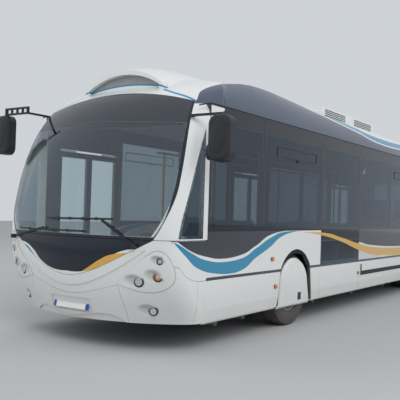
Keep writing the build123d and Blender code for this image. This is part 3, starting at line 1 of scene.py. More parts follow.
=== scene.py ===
# %% [markdown]
# # A city bus with a round nose
#
# The bus comes as a set of exact solids. This notebook gives them paint, glass, rubber and
# cloth, and adds what is too fine for the solids: seals, lenses, nuts, cushions and tread.
# Everything is in metres. The nose points to -Y and the driver sits on the +X side.

import math

import bmesh
import bpy
from mathutils import Matrix, Vector


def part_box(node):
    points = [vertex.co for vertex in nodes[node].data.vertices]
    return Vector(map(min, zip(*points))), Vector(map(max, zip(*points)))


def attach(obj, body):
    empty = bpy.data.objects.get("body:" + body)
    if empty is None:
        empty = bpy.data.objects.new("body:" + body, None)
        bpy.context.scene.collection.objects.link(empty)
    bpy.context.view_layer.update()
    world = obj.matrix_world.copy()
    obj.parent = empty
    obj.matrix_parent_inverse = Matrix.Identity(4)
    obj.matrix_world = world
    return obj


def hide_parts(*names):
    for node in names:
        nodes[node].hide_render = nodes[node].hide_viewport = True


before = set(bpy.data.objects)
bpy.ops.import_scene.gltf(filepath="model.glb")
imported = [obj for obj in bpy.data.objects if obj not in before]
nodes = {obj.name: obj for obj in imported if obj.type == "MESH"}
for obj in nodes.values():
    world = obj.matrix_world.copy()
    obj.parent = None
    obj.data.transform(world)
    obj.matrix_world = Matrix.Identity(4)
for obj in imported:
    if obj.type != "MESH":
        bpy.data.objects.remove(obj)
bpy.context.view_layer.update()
bpy.ops.object.select_all(action="DESELECT")
print("solids", len(nodes))

# %% [markdown]
# ## Camera
#
# The lens and the place were worked out from the picture: a low tripod height beside the
# driver's corner, with the camera turned a little about its own view line.

# %% Place the camera
LENS = 57.43
EYE = (5.038, -10.857, 1.474)
TURN, TILT, ROLL = math.radians(34.69), math.radians(-1.04), math.radians(1.83)
bpy.ops.object.camera_add(location=EYE)
camera = bpy.context.object
camera.data.sensor_fit = "HORIZONTAL"
camera.data.sensor_width = 36.0
camera.data.lens = LENS
camera.data.clip_end = 200.0
turned = Matrix.Rotation(TURN, 4, "Z") @ Matrix.Rotation(math.pi / 2 - TILT, 4, "X")
turned = turned @ Matrix.Rotation(ROLL, 4, "Z")
camera.matrix_world = Matrix.Translation(EYE) @ turned
bpy.context.scene.camera = camera
print("lens", camera.data.lens)

# %% [markdown]
# ## Shader maths that reads like arithmetic
#
# A pattern in a material is a chain of small nodes. Wrapping one output socket in a class
# with overloaded operators lets the chain be written as a plain expression, such as
# `1 - mask * 0.5`, and one method makes every other kind of node.


# %% Wrap a socket
SOFT = 0.0012


class Value:
    """One output socket of a finish, which can be added, scaled and compared."""

    def __init__(self, finish, socket):
        self.finish = finish
        self.socket = socket

    def math(self, operation, *others):
        return self.finish.node("ShaderNodeMath", {"operation": operation}, [self, *others])

    def __add__(self, other):
        return self.math("ADD", other)

    def __sub__(self, other):
        return self.math("SUBTRACT", other)

    def __mul__(self, other):
        return self.math("MULTIPLY", other)

    def __rsub__(self, other):
        return self.finish.node("ShaderNodeMath", {"operation": "SUBTRACT"}, [other, self])

    __radd__ = __add__
    __rmul__ = __mul__

    def __abs__(self):
        return self.math("ABSOLUTE")

    def wave(self):
        """The sine of this value, for ribs, slats and threads."""
        return self.math("SINE")

    def both(self, other):
        """The larger of two masks."""
        return self.math("MAXIMUM", other)

    def over(self, low, high):
        """0 below low, 1 above high, smooth between."""
        settings = {"interpolation_type": "SMOOTHSTEP", "clamp": True}
        return self.finish.node("ShaderNodeMapRange", settings, [self, low, high, 0.0, 1.0])

    def step(self, soft=SOFT):
        """0 below zero and 1 above it, with a soft edge."""
        return self.over(-soft, soft)

    def curve(self, points):
        """The smooth curve through the points, read at this value and held at both ends."""
        start, end = points[0][0], points[-1][0]
        heights = [height for _, height in points]
        low, high = min(heights), max(heights)
        share = self.finish.node("ShaderNodeMapRange", {"clamp": True}, [self, start, end, 0.0, 1.0])
        stops = [((x - start) / (end - start), (height - low) / (high - low)) for x, height in points]
        bent = self.finish.node("ShaderNodeFloatCurve", {"stops": stops}, {"Value": share})
        return bent * (high - low) + low


print("edge", SOFT)

# %% [markdown]
# A finish is one material. Its helper adds nodes, reads the place on the object, and mixes
# colours, so that each material below is only a few lines of description.


# %% One material with its node tree
class Finish:
    """A material whose nodes are made through node()."""

    def __init__(self, name, **constants):
        self.material = bpy.data.materials.new(name)
        self.material.use_nodes = True
        self.tree = self.material.node_tree
        self.shader = self.tree.nodes["Principled BSDF"]
        self.output = self.tree.nodes["Material Output"]
        for socket, value in constants.items():
            self.shader.inputs[socket.replace("_", " ")].default_value = value

    def link(self, value, socket):
        if isinstance(value, Value):
            self.tree.links.new(value.socket, socket)
        else:
            socket.default_value = value

    def node(self, kind, settings=None, inputs=(), output=0):
        made = self.tree.nodes.new(kind)
        for key, value in (settings or {}).items():
            if key == "stops":
                self.set_stops(made, value)
            else:
                setattr(made, key, value)
        pairs = inputs.items() if isinstance(inputs, dict) else enumerate(inputs)
        for key, value in pairs:
            self.link(value, made.inputs[key])
        return Value(self, made.outputs[output])

    def set_stops(self, made, stops):
        line = made.mapping.curves[0]
        line.points[0].location, line.points[1].location = stops[0], stops[-1]
        for stop in stops[1:-1]:
            line.points.new(*stop)
        made.mapping.update()

    def place(self):
        """The place on the object as x, y and z."""
        here = self.node("ShaderNodeTexCoord", output="Object")
        apart = self.node("ShaderNodeSeparateXYZ", inputs=[here])
        return [Value(self, part) for part in apart.socket.node.outputs]

    def noise(self, scale, detail=3.0, stretch=None):
        """Soft random spots, scale to the metre, drawn out where stretch is given."""
        here = self.node("ShaderNodeTexCoord", output="Object")
        if stretch:
            here = self.node("ShaderNodeMapping", inputs={"Vector": here, "Scale": stretch})
        return self.node("ShaderNodeTexNoise", inputs={"Vector": here, "Scale": scale, "Detail": detail})

    def mix(self, share, first, second):
        """first where share is 0 and second where it is 1, both colours."""
        mixed = self.node("ShaderNodeMix", {"data_type": "RGBA"}, {"Factor": share}, "Result")
        node = mixed.socket.node
        colours = [socket for socket in node.inputs if socket.type == "RGBA"]
        for socket, value in zip(colours, (first, second)):
            self.link(value, socket)
        return Value(self, [socket for socket in node.outputs if socket.type == "RGBA"][0])

    def set(self, **sockets):
        for socket, value in sockets.items():
            self.link(value, self.shader.inputs[socket.replace("_", " ")])
        return self

    def bump(self, height, distance, strength=1.0):
        """Raises the surface by height times distance, in metres."""
        sockets = {"Height": height, "Distance": distance, "Strength": strength}
        return self.set(Normal=self.node("ShaderNodeBump", inputs=sockets))


def rgb(red, green, blue):
    return (red, green, blue, 1.0)


def darker(colour, share):
    return tuple(part * share for part in colour[:3]) + (1.0,)


print("helpers ready")

# %% [markdown]
# ## Livery
#
# The waves along the side are painted over panels, glass and rubber alike, so they belong in
# a function of the place on the bus rather than in one material. Each wave is the space
# between two curves of height against length, and a thin white line is the same curve a few
# centimetres higher.

# %% Colours of the livery
WHITE = rgb(0.78, 0.79, 0.77)
TEAL = rgb(0.006, 0.235, 0.40)
OCHRE = rgb(0.70, 0.41, 0.085)
SLATE = rgb(0.05, 0.068, 0.115)
NAVY = rgb(0.016, 0.021, 0.034)
PALE = rgb(0.62, 0.62, 0.70)

BELLY_FOOT = [(-5.746, 1.161), (-5.502, 1.05), (-5.248, 0.996), (-4.976, 0.966), (-4.652, 0.981)]
BELLY_FOOT += [(-4.227, 1.087), (-3.803, 1.226), (-3.432, 1.262), (-3.0, 1.27)]
TEAL_TOP = [(-5.76, 1.15), (-5.501, 1.032), (-5.246, 0.959), (-4.974, 0.93), (-4.613, 0.945)]
TEAL_TOP += [(-4.226, 1.056), (-3.801, 1.194), (-3.526, 1.246), (-3.0, 1.256)]
TEAL_FOOT = [(-5.778, 1.146), (-5.62, 1.001), (-5.367, 0.866), (-5.105, 0.814), (-4.753, 0.793)]
TEAL_FOOT += [(-4.568, 0.811), (-4.219, 0.944), (-3.883, 1.057), (-3.523, 1.2), (-3.232, 1.244)]
TEAL_FOOT += [(-3.0, 1.256)]
OCHRE_TOP = [(-2.978, 1.242), (-2.356, 1.23), (-1.65, 1.155), (-0.847, 1.038), (-0.083, 0.96)]
OCHRE_TOP += [(1.306, 0.916), (6.0, 0.93)]
OCHRE_FOOT = [(-2.978, 1.242), (-2.353, 1.194), (-1.646, 1.094), (-0.839, 0.932), (-0.321, 0.848)]
OCHRE_FOOT += [(0.185, 0.807), (1.318, 0.779), (6.0, 0.79)]
ROOF_FOOT = [(-3.05, 2.99), (-1.94, 2.904), (-0.917, 2.824), (0.356, 2.742), (1.392, 2.761), (6.0, 2.768)]
ROOF_TOP = [(-3.05, 3.02), (-1.946, 2.993), (-0.925, 2.929), (0.346, 2.875), (1.381, 2.895), (6.0, 2.90)]
LINE = 0.028
WAVE_START, WAVE_CHANGE, OCHRE_START, ROOF_START = -5.80, -3.0, -2.98, -3.05
NOSE_SEAM, PANELS_START, PALE_END = -5.262, -0.85, 0.185
SILL, SILL_TOP, BELT, DARK_TOP, BAND_TOP = 0.7, 0.776, 1.262, 1.3, 2.7
print("wave points", len(TEAL_TOP), len(OCHRE_TOP))


# %% Paint the waves over a colour
def between(value, low, high):
    """1 between two edges and 0 outside."""
    return (value - low).step() * (high - value).step()


def side_waves(finish, base, on_glass=False):
    """The waves of the body side over base."""
    x, y, z = finish.place()
    side = abs(x).over(0.9, 0.95)
    front = (WAVE_CHANGE - y).step() * side * (y - WAVE_START).step()
    back = (y - OCHRE_START).step() * side
    teal_top, teal_foot = y.curve(TEAL_TOP), y.curve(TEAL_FOOT)
    ochre_top, ochre_foot = y.curve(OCHRE_TOP), y.curve(OCHRE_FOOT)
    layers = []
    if not on_glass:
        panels = (y - PANELS_START).step() * side
        layers = [
            (front * between(z, y.curve(BELLY_FOOT), DARK_TOP), NAVY),
            (panels * between(z, ochre_top + LINE, DARK_TOP), NAVY),
            (panels * between(z, SILL, ochre_foot) * (PALE_END - y).step(), PALE),
            (panels * between(z, ochre_top, ochre_top + LINE), WHITE),
            (side * between(z, BELT, BAND_TOP), NAVY),
            (side * (y - NOSE_SEAM).step() * between(z, SILL, SILL_TOP), NAVY),
        ]
    layers.append((front * between(z, teal_foot, teal_top), TEAL))
    layers.append((back * between(z, ochre_foot, ochre_top), OCHRE))
    for mask, colour in layers:
        base = finish.mix(mask, base, colour)
    return base


print("waves ready")

# %% [markdown]
# ## Paint
#
# Bus paint is a flat colour under a clear coat. What makes it read as paint and not as plain
# plastic is the coat's sharp highlight, a faint unevenness of the sheet below, and road dust
# that gathers towards the sills.


# %% Painted sheet
def dust(finish, reach=0.55):
    """Road dust: more near the ground, broken up by drawn-out spots."""
    z = finish.place()[2]
    spots = finish.noise(2.6, 5.0, (1.0, 0.6, 2.5))
    return (1.0 - z.over(0.28, 0.28 + reach)) * (0.25 + spots * 0.5)


def painted(name, colour, pattern=None, roughness=0.24, coat=0.7, relief=None):
    """Flat paint with a clear coat, cloudy by a few percent, with dust, streaks and orange peel."""
    paint = Finish(name, Coat_Weight=coat, Coat_Roughness=0.05)
    base = paint.mix(paint.noise(0.9, 2.0) * 0.12, colour, darker(colour, 0.86))
    if pattern:
        base = pattern(paint, base)
    grime = dust(paint)
    base = paint.mix(grime * 0.4, base, rgb(0.32, 0.29, 0.25))
    streaks = paint.noise(7.0, 4.0, (1.0, 6.0, 0.35))
    paint.set(Base_Color=base, Roughness=roughness + grime * 0.45 + streaks * 0.05)
    peel = paint.noise(1.6, 1.0) + paint.noise(240.0, 2.0) * 0.02
    if relief:
        return paint.bump(peel * 0.03 - relief(paint), 0.032, 0.9).material
    return paint.bump(peel, 0.0025, 0.35).material


print("paint ready")

# %% [markdown]
# Some panels carry a pattern of their own: the wave over the fairings, the arc over the brow,
# the grey face of the roof pod, and the oval dishes that the front lamps are set in, each
# darkened inside as painted shade. Each lamp is given by its name, its place across and up,
# its radius, and how far it turns outwards.

# %% Patterns in the paint
CAP_ARC = [(0.0, 3.04), (0.24, 3.01), (0.37, 2.925), (0.7, 2.80), (1.007, 2.697), (1.2, 2.60)]
POD_ARC = [(0.0, 2.936), (0.18, 2.930), (0.34, 2.915), (0.54, 2.885), (0.62, 2.858)]
POD_RIM = [(0.0, 3.049), (0.2, 3.030), (0.4, 2.977), (0.545, 2.90)]
POD_FACE = (-5.1915, -5.1885)
FRONT_LAMPS = [
    ("dipped", 0.870, 0.743, 0.048, 18.0),
    ("indicator", 1.068, 0.803, 0.044, 34.0),
    ("position", 1.105, 0.962, 0.026, 40.0),
    ("fog", 0.948, 0.436, 0.042, 24.0),
]
DISH_INWARD, DISH_UP, DISH_WIDE, DISH_HIGH, SMALL_DISH = 0.055, 0.010, 0.125, 0.074, 0.75


def roof_stripe(paint, base):
    """White above the wave's foot, and the teal wave in it, which fades in."""
    _, y, z = paint.place()
    foot, top = y.curve(ROOF_FOOT), y.curve(ROOF_TOP)
    behind = (y - ROOF_START).step()
    base = paint.mix(behind * (z - foot).step(), base, WHITE)
    fade = (y + 2.6).over(-0.3, 0.0).over(0.4, 0.6)
    return paint.mix(behind * between(z, foot + 0.022, top - 0.02) * fade, base, TEAL)


def cap_arc(paint, base):
    """A thin teal arc over the brow."""
    x, y, z = paint.place()
    arc = abs(x).curve(CAP_ARC)
    return paint.mix(between(z, arc - 0.008, arc + 0.012) * (-4.9 - y).over(0.0, 0.05), base, TEAL)


def dishes(paint):
    """1 in the deep oval dishes of the front lamps, each off to the inner side of its lens."""
    x, _, z = paint.place()
    out, deep = abs(x), None
    for name, lamp_x, lamp_z, _, turn in FRONT_LAMPS:
        size = SMALL_DISH if name == "position" else 1.0
        narrow = size * math.cos(math.radians(turn))
        across = (out - (lamp_x - DISH_INWARD * narrow)) * (1.0 / (DISH_WIDE * narrow))
        up = (z - (lamp_z + DISH_UP)) * (1.0 / (DISH_HIGH * size))
        bowl = 1.0 - (across * across + up * up).math("SQRT").over(0.25, 1.0)
        deep = bowl if deep is None else deep.both(bowl)
    return deep


def dish_shade(paint, base):
    """Painted shade: the dishes are a little darker inside."""
    return paint.mix(dishes(paint) * 0.35, base, rgb(0.2, 0.21, 0.22))


def pod_front(paint, base):
    """The grey slatted face of the pod, and the arc across its foot."""
    x, y, z = paint.place()
    out = abs(x)
    arc, rim = out.curve(POD_ARC), out.curve(POD_RIM)
    slats = (z * 314.0).wave().step(0.2)
    face = between(y, *POD_FACE) * (z - arc).step(0.001) * (rim - z).step(0.002)
    base = paint.mix(face, base, rgb(0.30, 0.31, 0.31))
    base = paint.mix(face * slats * 0.35, base, rgb(0.12, 0.125, 0.13))
    return paint.mix((-5.1 - y).step() * between(z, arc - 0.010, arc + 0.010), base, TEAL)


white_paint = painted("white_body_paint", WHITE)
# The dished paint has painted shade darkening the inside of each lamp dish.
dished_paint = painted("white_paint_with_dishes_and_painted_shade", WHITE, dish_shade, relief=dishes)
pod_paint = painted("white_pod_paint", WHITE, pod_front)
wave_paint = painted("white_paint_with_waves", WHITE, side_waves)
slate_paint = painted("slate_roof_paint", SLATE, roof_stripe, roughness=0.3)
cap_paint = painted("white_cap_paint_with_arc", WHITE, cap_arc)
print(white_paint.name, wave_paint.name, slate_paint.name)

# %% [markdown]
# ## Glass
#
# Each pane is a thin sheet, so nothing behind it is bent: a see-through shader carries the
# tint and a mirror-like one the reflection. They are mixed by how slanted the view is, to the
# fifth power, which serves both faces of a pane alike, where a Fresnel node would turn the
# inner face into a mirror. The reflected sky is what makes a bus window look blue-grey by day.
# Round the edges a black ceramic border hides the glue, like dark enamel.


# %% Window glass
def glass(name, tint, border=None, waves=False, shine=0.12, mirror=rgb(0.80, 0.86, 0.95)):
    """See-through sheet glass with a printed border and, where asked, the livery's waves."""
    pane = Finish(name, Coat_Weight=0.0)
    smear = pane.noise(1.3, 4.0, (1.0, 1.0, 2.0))
    enamel = rgb(0.012, 0.016, 0.024)
    printed = 0.0
    if waves:
        _, y, z = pane.place()
        enamel = side_waves(pane, enamel, on_glass=True)
        printed = (y - OCHRE_START).step() * between(z, y.curve(OCHRE_FOOT), y.curve(OCHRE_TOP))
    if border is not None:
        edge, enamel = border(pane, enamel)
        printed = edge if not waves else printed.both(edge)
    if isinstance(printed, Value):
        base, metal = pane.mix(printed, mirror, enamel), 1.0 - printed
    else:
        base, metal = pane.mix(smear * 0.1, mirror, darker(mirror, 0.9)), 1.0
    pane.set(Base_Color=base, Roughness=0.02 + smear * 0.05, Metallic=metal)
    clear = pane.node("ShaderNodeBsdfTransparent", inputs={"Color": tint})
    slant = pane.node("ShaderNodeLayerWeight", output="Facing")
    share = slant.math("POWER", 5.0) * 0.96 + 0.04 + shine
    if isinstance(printed, Value):
        share = share.both(printed)
    mirrored = Value(pane, pane.shader.outputs[0])
    mixed = pane.node("ShaderNodeMixShader", inputs=[share.math("MINIMUM", 1.0), clear, mirrored])
    pane.link(mixed, pane.output.inputs["Surface"])
    return pane.material


PANE_SEAMS = [NOSE_SEAM, -4.0855, -2.3525, -0.8495, 0.6795, 2.2055, 3.7355, 5.15]
SCREEN_EDGE = [(1.172, 1.04), (1.288, 1.123), (1.43, 1.179), (1.581, 1.203), (1.786, 1.217)]
SCREEN_EDGE += [(2.05, 1.203), (2.314, 1.175), (2.5, 1.137), (2.656, 1.095)]


def side_border(pane, enamel):
    """The black border printed round each side pane, the white web at the front and the tail's border."""
    x, y, z = pane.place()
    border = ((1.0 - z.over(1.3, 1.305)) * z.over(1.1, 1.12)).both(z.over(2.44, 2.445))
    for seam in PANE_SEAMS:
        near = abs(y - seam)
        border = border.both(1.0 - near.over(0.045, 0.048))
    web = (z - ((y + 5.32) * 0.42 + 2.45)).step(0.004) * (-5.0 - y).step(0.004)
    web = web * abs(x).over(1.24, 1.25)
    quarter = y.over(-5.30, -5.29)
    side = abs(x).over(1.262, 1.266)
    tail = y.over(6.0, 6.01) * abs(x).over(0.93, 0.934)
    border = (border * quarter * side).both(web).both(tail)
    return border.math("MINIMUM", 1.0), pane.mix(web, enamel, WHITE)


def screen_border(pane, enamel):
    """The dark band over the top of the windscreen and the line round its edge."""
    x, _, z = pane.place()
    out = abs(x)
    band = (z - (2.445 - out * 0.045)).step(0.004) * 0.96
    rim = (out - (z.curve(SCREEN_EDGE) - 0.028)).step(0.002) * (2.70 - z).over(0.0, 0.01)
    foot = (1.2 - z).step(0.002)
    return band.both(rim).both(foot), enamel


clear_glass = glass("windscreen_glass", rgb(0.9, 0.94, 0.94), screen_border, shine=0.035)
side_glass = glass("tinted_side_glass", rgb(0.45, 0.5, 0.53), side_border, True, 0.05, rgb(0.6, 0.66, 0.75))
print(clear_glass.name, side_glass.name)

# %% [markdown]
# ## Rubber, plastic, steel and cloth
#
# These finishes share one recipe: a base colour that varies by a few percent, roughness that
# follows the same spots, and a fine bump at the scale of the real grain.


# %% Grained finishes
def grained(name, colour, roughness, grain, depth, vary=0.25, metallic=0.0, dusty=0.0, **constants):
    """A plain material with clouded colour, uneven gloss and fine grain."""
    finish = Finish(name, Metallic=metallic, **constants)
    cloud = finish.noise(3.0, 3.0)
    base = finish.mix(cloud, colour, darker(colour, 1.0 - vary))
    if dusty:
        base = finish.mix(dust(finish, 0.9) * dusty, base, rgb(0.3, 0.27, 0.23))
    finish.set(Base_Color=base, Roughness=roughness + (cloud - 0.5) * 0.15)
    return finish.bump(finish.noise(grain, 3.0), depth, 0.5).material


black_plastic = grained("grained_black_plastic", rgb(0.02, 0.022, 0.026), 0.42, 450.0, 0.0006)
grey_plastic = grained("grey_lining_plastic", rgb(0.30, 0.32, 0.34), 0.55, 350.0, 0.0005)
light_lining = grained("pale_ceiling_lining", rgb(0.72, 0.73, 0.74), 0.6, 200.0, 0.0004)
arch_rubber = grained("black_arch_rubber", rgb(0.014, 0.014, 0.016), 0.7, 160.0, 0.001, dusty=0.35)
seal_rubber = grained("black_seal_rubber", rgb(0.012, 0.013, 0.015), 0.55, 260.0, 0.0005)
tyre_rubber = grained("tyre_rubber", rgb(0.022, 0.021, 0.021), 0.8, 220.0, 0.0012, dusty=0.5)
cast_iron = grained("cast_iron", rgb(0.07, 0.068, 0.066), 0.65, 90.0, 0.002, metallic=0.4, dusty=0.5)
chassis_black = grained("chassis_black_paint", rgb(0.03, 0.03, 0.032), 0.45, 60.0, 0.001, dusty=0.6)
rim_paint = grained("silver_rim_paint", rgb(0.42, 0.43, 0.44), 0.35, 120.0, 0.0006, metallic=0.5, dusty=0.5)
steel = grained("brushed_steel", rgb(0.5, 0.5, 0.52), 0.3, 200.0, 0.0004, metallic=1.0)
chrome = grained("lamp_chrome", rgb(0.85, 0.86, 0.88), 0.12, 90.0, 0.0002, vary=0.1, metallic=1.0)
mirror_glass = grained("mirror_glass", rgb(0.72, 0.76, 0.8), 0.08, 30.0, 0.0001, vary=0.05, metallic=1.0)
yellow_paint = grained("yellow_rail_paint", rgb(0.75, 0.47, 0.03), 0.3, 120.0, 0.0003)
floor_vinyl = grained("speckled_floor_vinyl", rgb(0.12, 0.13, 0.15), 0.65, 700.0, 0.0006)
plate_white = grained("blank_plate_white", rgb(0.8, 0.8, 0.76), 0.35, 500.0, 0.0003, vary=0.06)
plate_blue = grained("plate_end_blue", rgb(0.015, 0.06, 0.42), 0.35, 500.0, 0.0003, vary=0.1)
print("grained finishes ready")

# %% [markdown]
# The mask under the windscreen is a dark gloss panel. Two slivers are painted over its lower
# edge, teal on the door side and yellow on the driver's side, each between two curves.

# %% The mask and the sign
SLIVERS = [
    (TEAL, -1.0, [(0.401, 0.79), (0.50, 0.835), (0.601, 0.895), (0.756, 1.015), (0.856, 1.03)],
     [(0.401, 0.80), (0.50, 0.885), (0.601, 0.955), (0.756, 1.035), (0.856, 1.034)]),
    (OCHRE, 1.0, [(0.222, 0.808), (0.32, 0.825), (0.516, 0.905), (0.65, 0.968), (0.781, 1.03)],
     [(0.222, 0.812), (0.32, 0.868), (0.45, 0.947), (0.578, 1.003), (0.781, 1.034)]),
]
SMILE = [(0.0, 0.80), (0.2, 0.806), (0.4, 0.868), (0.6, 1.0), (0.75, 1.06), (0.95, 1.09), (1.05, 1.172)]
DOT_PITCH = 520.0


def mask_paint():
    """Dark gloss with a white border along the smile and the two slivers in it."""
    panel = Finish("gloss_black_mask", Coat_Weight=0.25, Coat_Roughness=0.04, Specular_IOR_Level=0.3)
    x, _, z = panel.place()
    out = abs(x)
    cloud = panel.noise(1.5, 2.0)
    base = panel.mix(cloud, NAVY, darker(NAVY, 0.75))
    base = panel.mix((out.curve(SMILE) - z).step(), base, WHITE)
    for colour, sign, foot, top in SLIVERS:
        half = (x * sign).over(0.0, 0.01) * between(out, foot[0][0], foot[-1][0])
        base = panel.mix(half * between(z, out.curve(foot), out.curve(top)), base, colour)
    panel.set(Base_Color=base, Roughness=0.12 + cloud * 0.06)
    return panel.bump(panel.noise(300.0), 0.0002, 0.3).material


def sign_face():
    """A blank sign: rows of unlit dots on a dark board."""
    board = Finish("unlit_dot_board", Specular_IOR_Level=0.3)
    x, _, z = board.place()
    dots = (x * DOT_PITCH).wave() * (z * DOT_PITCH).wave()
    shade = board.mix(dots.over(0.5, 0.9), rgb(0.006, 0.007, 0.009), rgb(0.05, 0.035, 0.018))
    board.set(Base_Color=shade, Roughness=0.45 + dots * 0.1)
    return board.bump(dots, 0.0006, 0.5).material


mask_gloss = mask_paint()
dot_board = sign_face()
print(mask_gloss.name, dot_board.name)


# %% Seat cloth
def cloth(name, colour, accent):
    """A woven plush with flecks."""
    weave = Finish(name, Sheen_Weight=0.35, Sheen_Roughness=0.5)
    x, y, z = weave.place()
    threads = (x * 1400.0).wave() * (z * 1400.0 + y * 900.0).wave()
    flecks = weave.noise(45.0, 2.0).over(0.56, 0.62)
    weave.set(Base_Color=weave.mix(flecks * 0.8, colour, accent), Roughness=0.85 + threads * 0.05)
    return weave.bump(threads, 0.0006, 0.5).material


seat_cloth = cloth("seat_cloth", rgb(0.03, 0.1, 0.22), rgb(0.05, 0.28, 0.4))
print(seat_cloth.name)

# %% [markdown]
# ## Lamps
#
# A lamp is a clear dome over a bright bowl. Seen from the front the dome shows rings: a dark
# rim, the bright bowl and a darker bulb. All of them are one function of the distance from
# the middle of each lamp, so one finish serves all eight.

# %% Lamp finishes
FULL_TURN = 6.28


def lens(name, colour, ribs=160.0):
    """Coloured lens with this many ribs to the metre, up and across."""
    glassy = Finish(name, Coat_Weight=0.8, Coat_Roughness=0.04, Specular_IOR_Level=0.7)
    x, y, z = glassy.place()
    rib = ((x + y) * ribs * FULL_TURN).wave() * 0.5 + (z * ribs * FULL_TURN).wave() * 0.5
    shade = glassy.mix(rib * 0.5 + 0.5, darker(colour, 0.45), colour)
    return glassy.set(Base_Color=shade, Roughness=0.15 + rib * 0.05).bump(rib, 0.001, 0.6).material


def lamp_rings():
    """The rings of the front lamps, amber for the indicator."""
    glassy = Finish("front_lamp_lens", Coat_Weight=0.9, Coat_Roughness=0.03)
    x, _, z = glassy.place()
    out = abs(x)
    base, metal = rgb(0.02, 0.022, 0.025), 0.0
    for name, lamp_x, lamp_z, radius, turn in FRONT_LAMPS:
        across = (out - lamp_x) * (1.0 / math.cos(math.radians(turn)))
        far = (across * across + (z - lamp_z) * (z - lamp_z)).math("SQRT")
        bowl, bulb = (0.78 * radius - far).step(0.0015), (0.34 * radius - far).step(0.0015)
        amber = name == "indicator"
        base = glassy.mix(bowl, base, rgb(0.75, 0.33, 0.12) if amber else rgb(0.75, 0.77, 0.8))
        base = glassy.mix(bulb, base, rgb(0.9, 0.72, 0.5) if amber else rgb(0.25, 0.27, 0.3))
        metal = bowl + metal
    glassy.set(Base_Color=base, Metallic=metal.math("MINIMUM", 1.0), Roughness=0.1 + glassy.noise(60.0) * 0.1)
    return glassy.bump(glassy.noise(80.0, 1.0), 0.0004, 0.4).material


def tail_lenses():
    """Red tail and brake lamps, amber and clear ones between."""
    glassy = Finish("tail_lamp_lens", Coat_Weight=0.8, Coat_Roughness=0.04)
    x, _, z = glassy.place()
    rib = (x * 900.0).wave() * (z * 900.0).wave()
    base = glassy.mix(between(z, 0.69, 0.83), rgb(0.5, 0.012, 0.012), rgb(0.85, 0.26, 0.02))
    base = glassy.mix(between(z, 0.97, 1.11), base, rgb(0.6, 0.63, 0.65))
    base = glassy.mix(rib * 0.25 + 0.25, base, rgb(0.08, 0.02, 0.01))
    return glassy.set(Base_Color=base, Roughness=0.14 + rib * 0.04).bump(rib, 0.001, 0.5).material


amber_lens = lens("amber_lens", rgb(0.9, 0.26, 0.015))
clear_lens = lens("clear_lens", rgb(0.62, 0.66, 0.68), 60.0)
front_lens = lamp_rings()
tail_lens = tail_lenses()
print(amber_lens.name, front_lens.name, tail_lens.name)

# %% [markdown]
# ## Door leaves
#
# A leaf is one solid with a thin pane in a frame. Its finish is glass within the frame's
# inner edge and dark paint outside it, and the leaf's own box says where that edge is.

# %% Glazed leaf
LEAF_FRAME, LEAF_FOOT, LEAF_TOP = 0.046, 0.362, 2.215
LEAF_RAIL = 1.6 * LEAF_FRAME


def leaf_glass(name, leaf):
    """A see-through pane in a dark frame, for one leaf."""
    low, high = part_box(leaf)

    def frame_border(pane, enamel):
        _, y, z = pane.place()
        inside = between(y, low.y + LEAF_FRAME, high.y - LEAF_FRAME)
        return 1.0 - inside * between(z, LEAF_FOOT + LEAF_RAIL, LEAF_TOP - LEAF_RAIL), enamel

    return glass(name, rgb(0.78, 0.83, 0.84), frame_border, shine=0.03)


print("leaf frame", LEAF_FRAME)

# %% [markdown]
# ## Finishes on the solids
#
# Each solid keeps its shape and gets the finish of the real part.

# %% Give every solid its finish
GROUPS = [
    (clear_glass, "windscreen"),
    (side_glass, "windows"),
    (mask_gloss, "front_mask"),
    (floor_vinyl, "floor"),
    (arch_rubber, "wheel_housings"),
    (light_lining, "roof"),
    (slate_paint, "roof_fairings"),
    (cap_paint, "front_roof_cap"),
    (dished_paint, "lamp_panels front_bumper"),
    (pod_paint, "roof_units"),
    (wave_paint, "left_wall right_wall nose_panel"),
    (tail_lens, "rear_lamps"),
    (front_lens, "front_lamps"),
    (cast_iron, "front_axle rear_axle left_knuckle right_knuckle engine"),
    (chassis_black, "chassis"),
    (black_plastic, "dashboard steering_wheel driver_seat left_mirror right_mirror wipers"),
    (grey_plastic, "passenger_seats cab_partition"),
    (yellow_paint, "handrails"),
    (dot_board, "destination_sign"),
]
FINISHES = {name: finish for finish, names in GROUPS for name in names.split()}
for name, node in nodes.items():
    finish = FINISHES.get(name, white_paint)
    if name.endswith("_wheel") and name.startswith("front_") or name.endswith("_wheels"):
        finish = rim_paint
    elif name.endswith("_arms"):
        finish = steel
    elif name.endswith("_leaf"):
        finish = leaf_glass(f"{name}_glass", name)
    node.data.materials.clear()
    node.data.materials.append(finish)
print("finished", len(nodes))

# %% [markdown]
# ## Ways of making a piece
#
# Every extra piece starts as a primitive, is shaped in edit mode on faces that are picked by
# their place, and ends with its corners rounded. These helpers hold the steps that repeat:
# adding a block, a bar, a ball or a hoop, sinking faces, cutting, rounding, and handing over.


# %% Start, pick and finish
def fresh():
    """Back to object mode with nothing selected."""
    if bpy.context.object and bpy.context.object.mode != "OBJECT":
        bpy.ops.object.mode_set(mode="OBJECT")
    bpy.ops.object.select_all(action="DESELECT")


def alone(piece):
    """Makes this piece the only selected one, and the active one."""
    fresh()
    bpy.context.view_layer.objects.active = piece
    piece.select_set(True)


def settled(piece, name):
    """Puts a new primitive's place, turn and size in its mesh."""
    piece.name = name
    bpy.ops.object.transform_apply(location=True, rotation=True, scale=True)
    return piece


def block(name, low, high):
    """A cube between two corners."""
    fresh()
    bpy.ops.mesh.primitive_cube_add(size=1.0, location=[(a + b) / 2 for a, b in zip(low, high)])
    piece = bpy.context.object
    piece.scale = [b - a for a, b in zip(low, high)]
    return settled(piece, name)


UPRIGHT = {"X": (0.0, math.pi / 2, 0.0), "Y": (math.pi / 2, 0.0, 0.0), "Z": (0.0, 0.0, 0.0)}


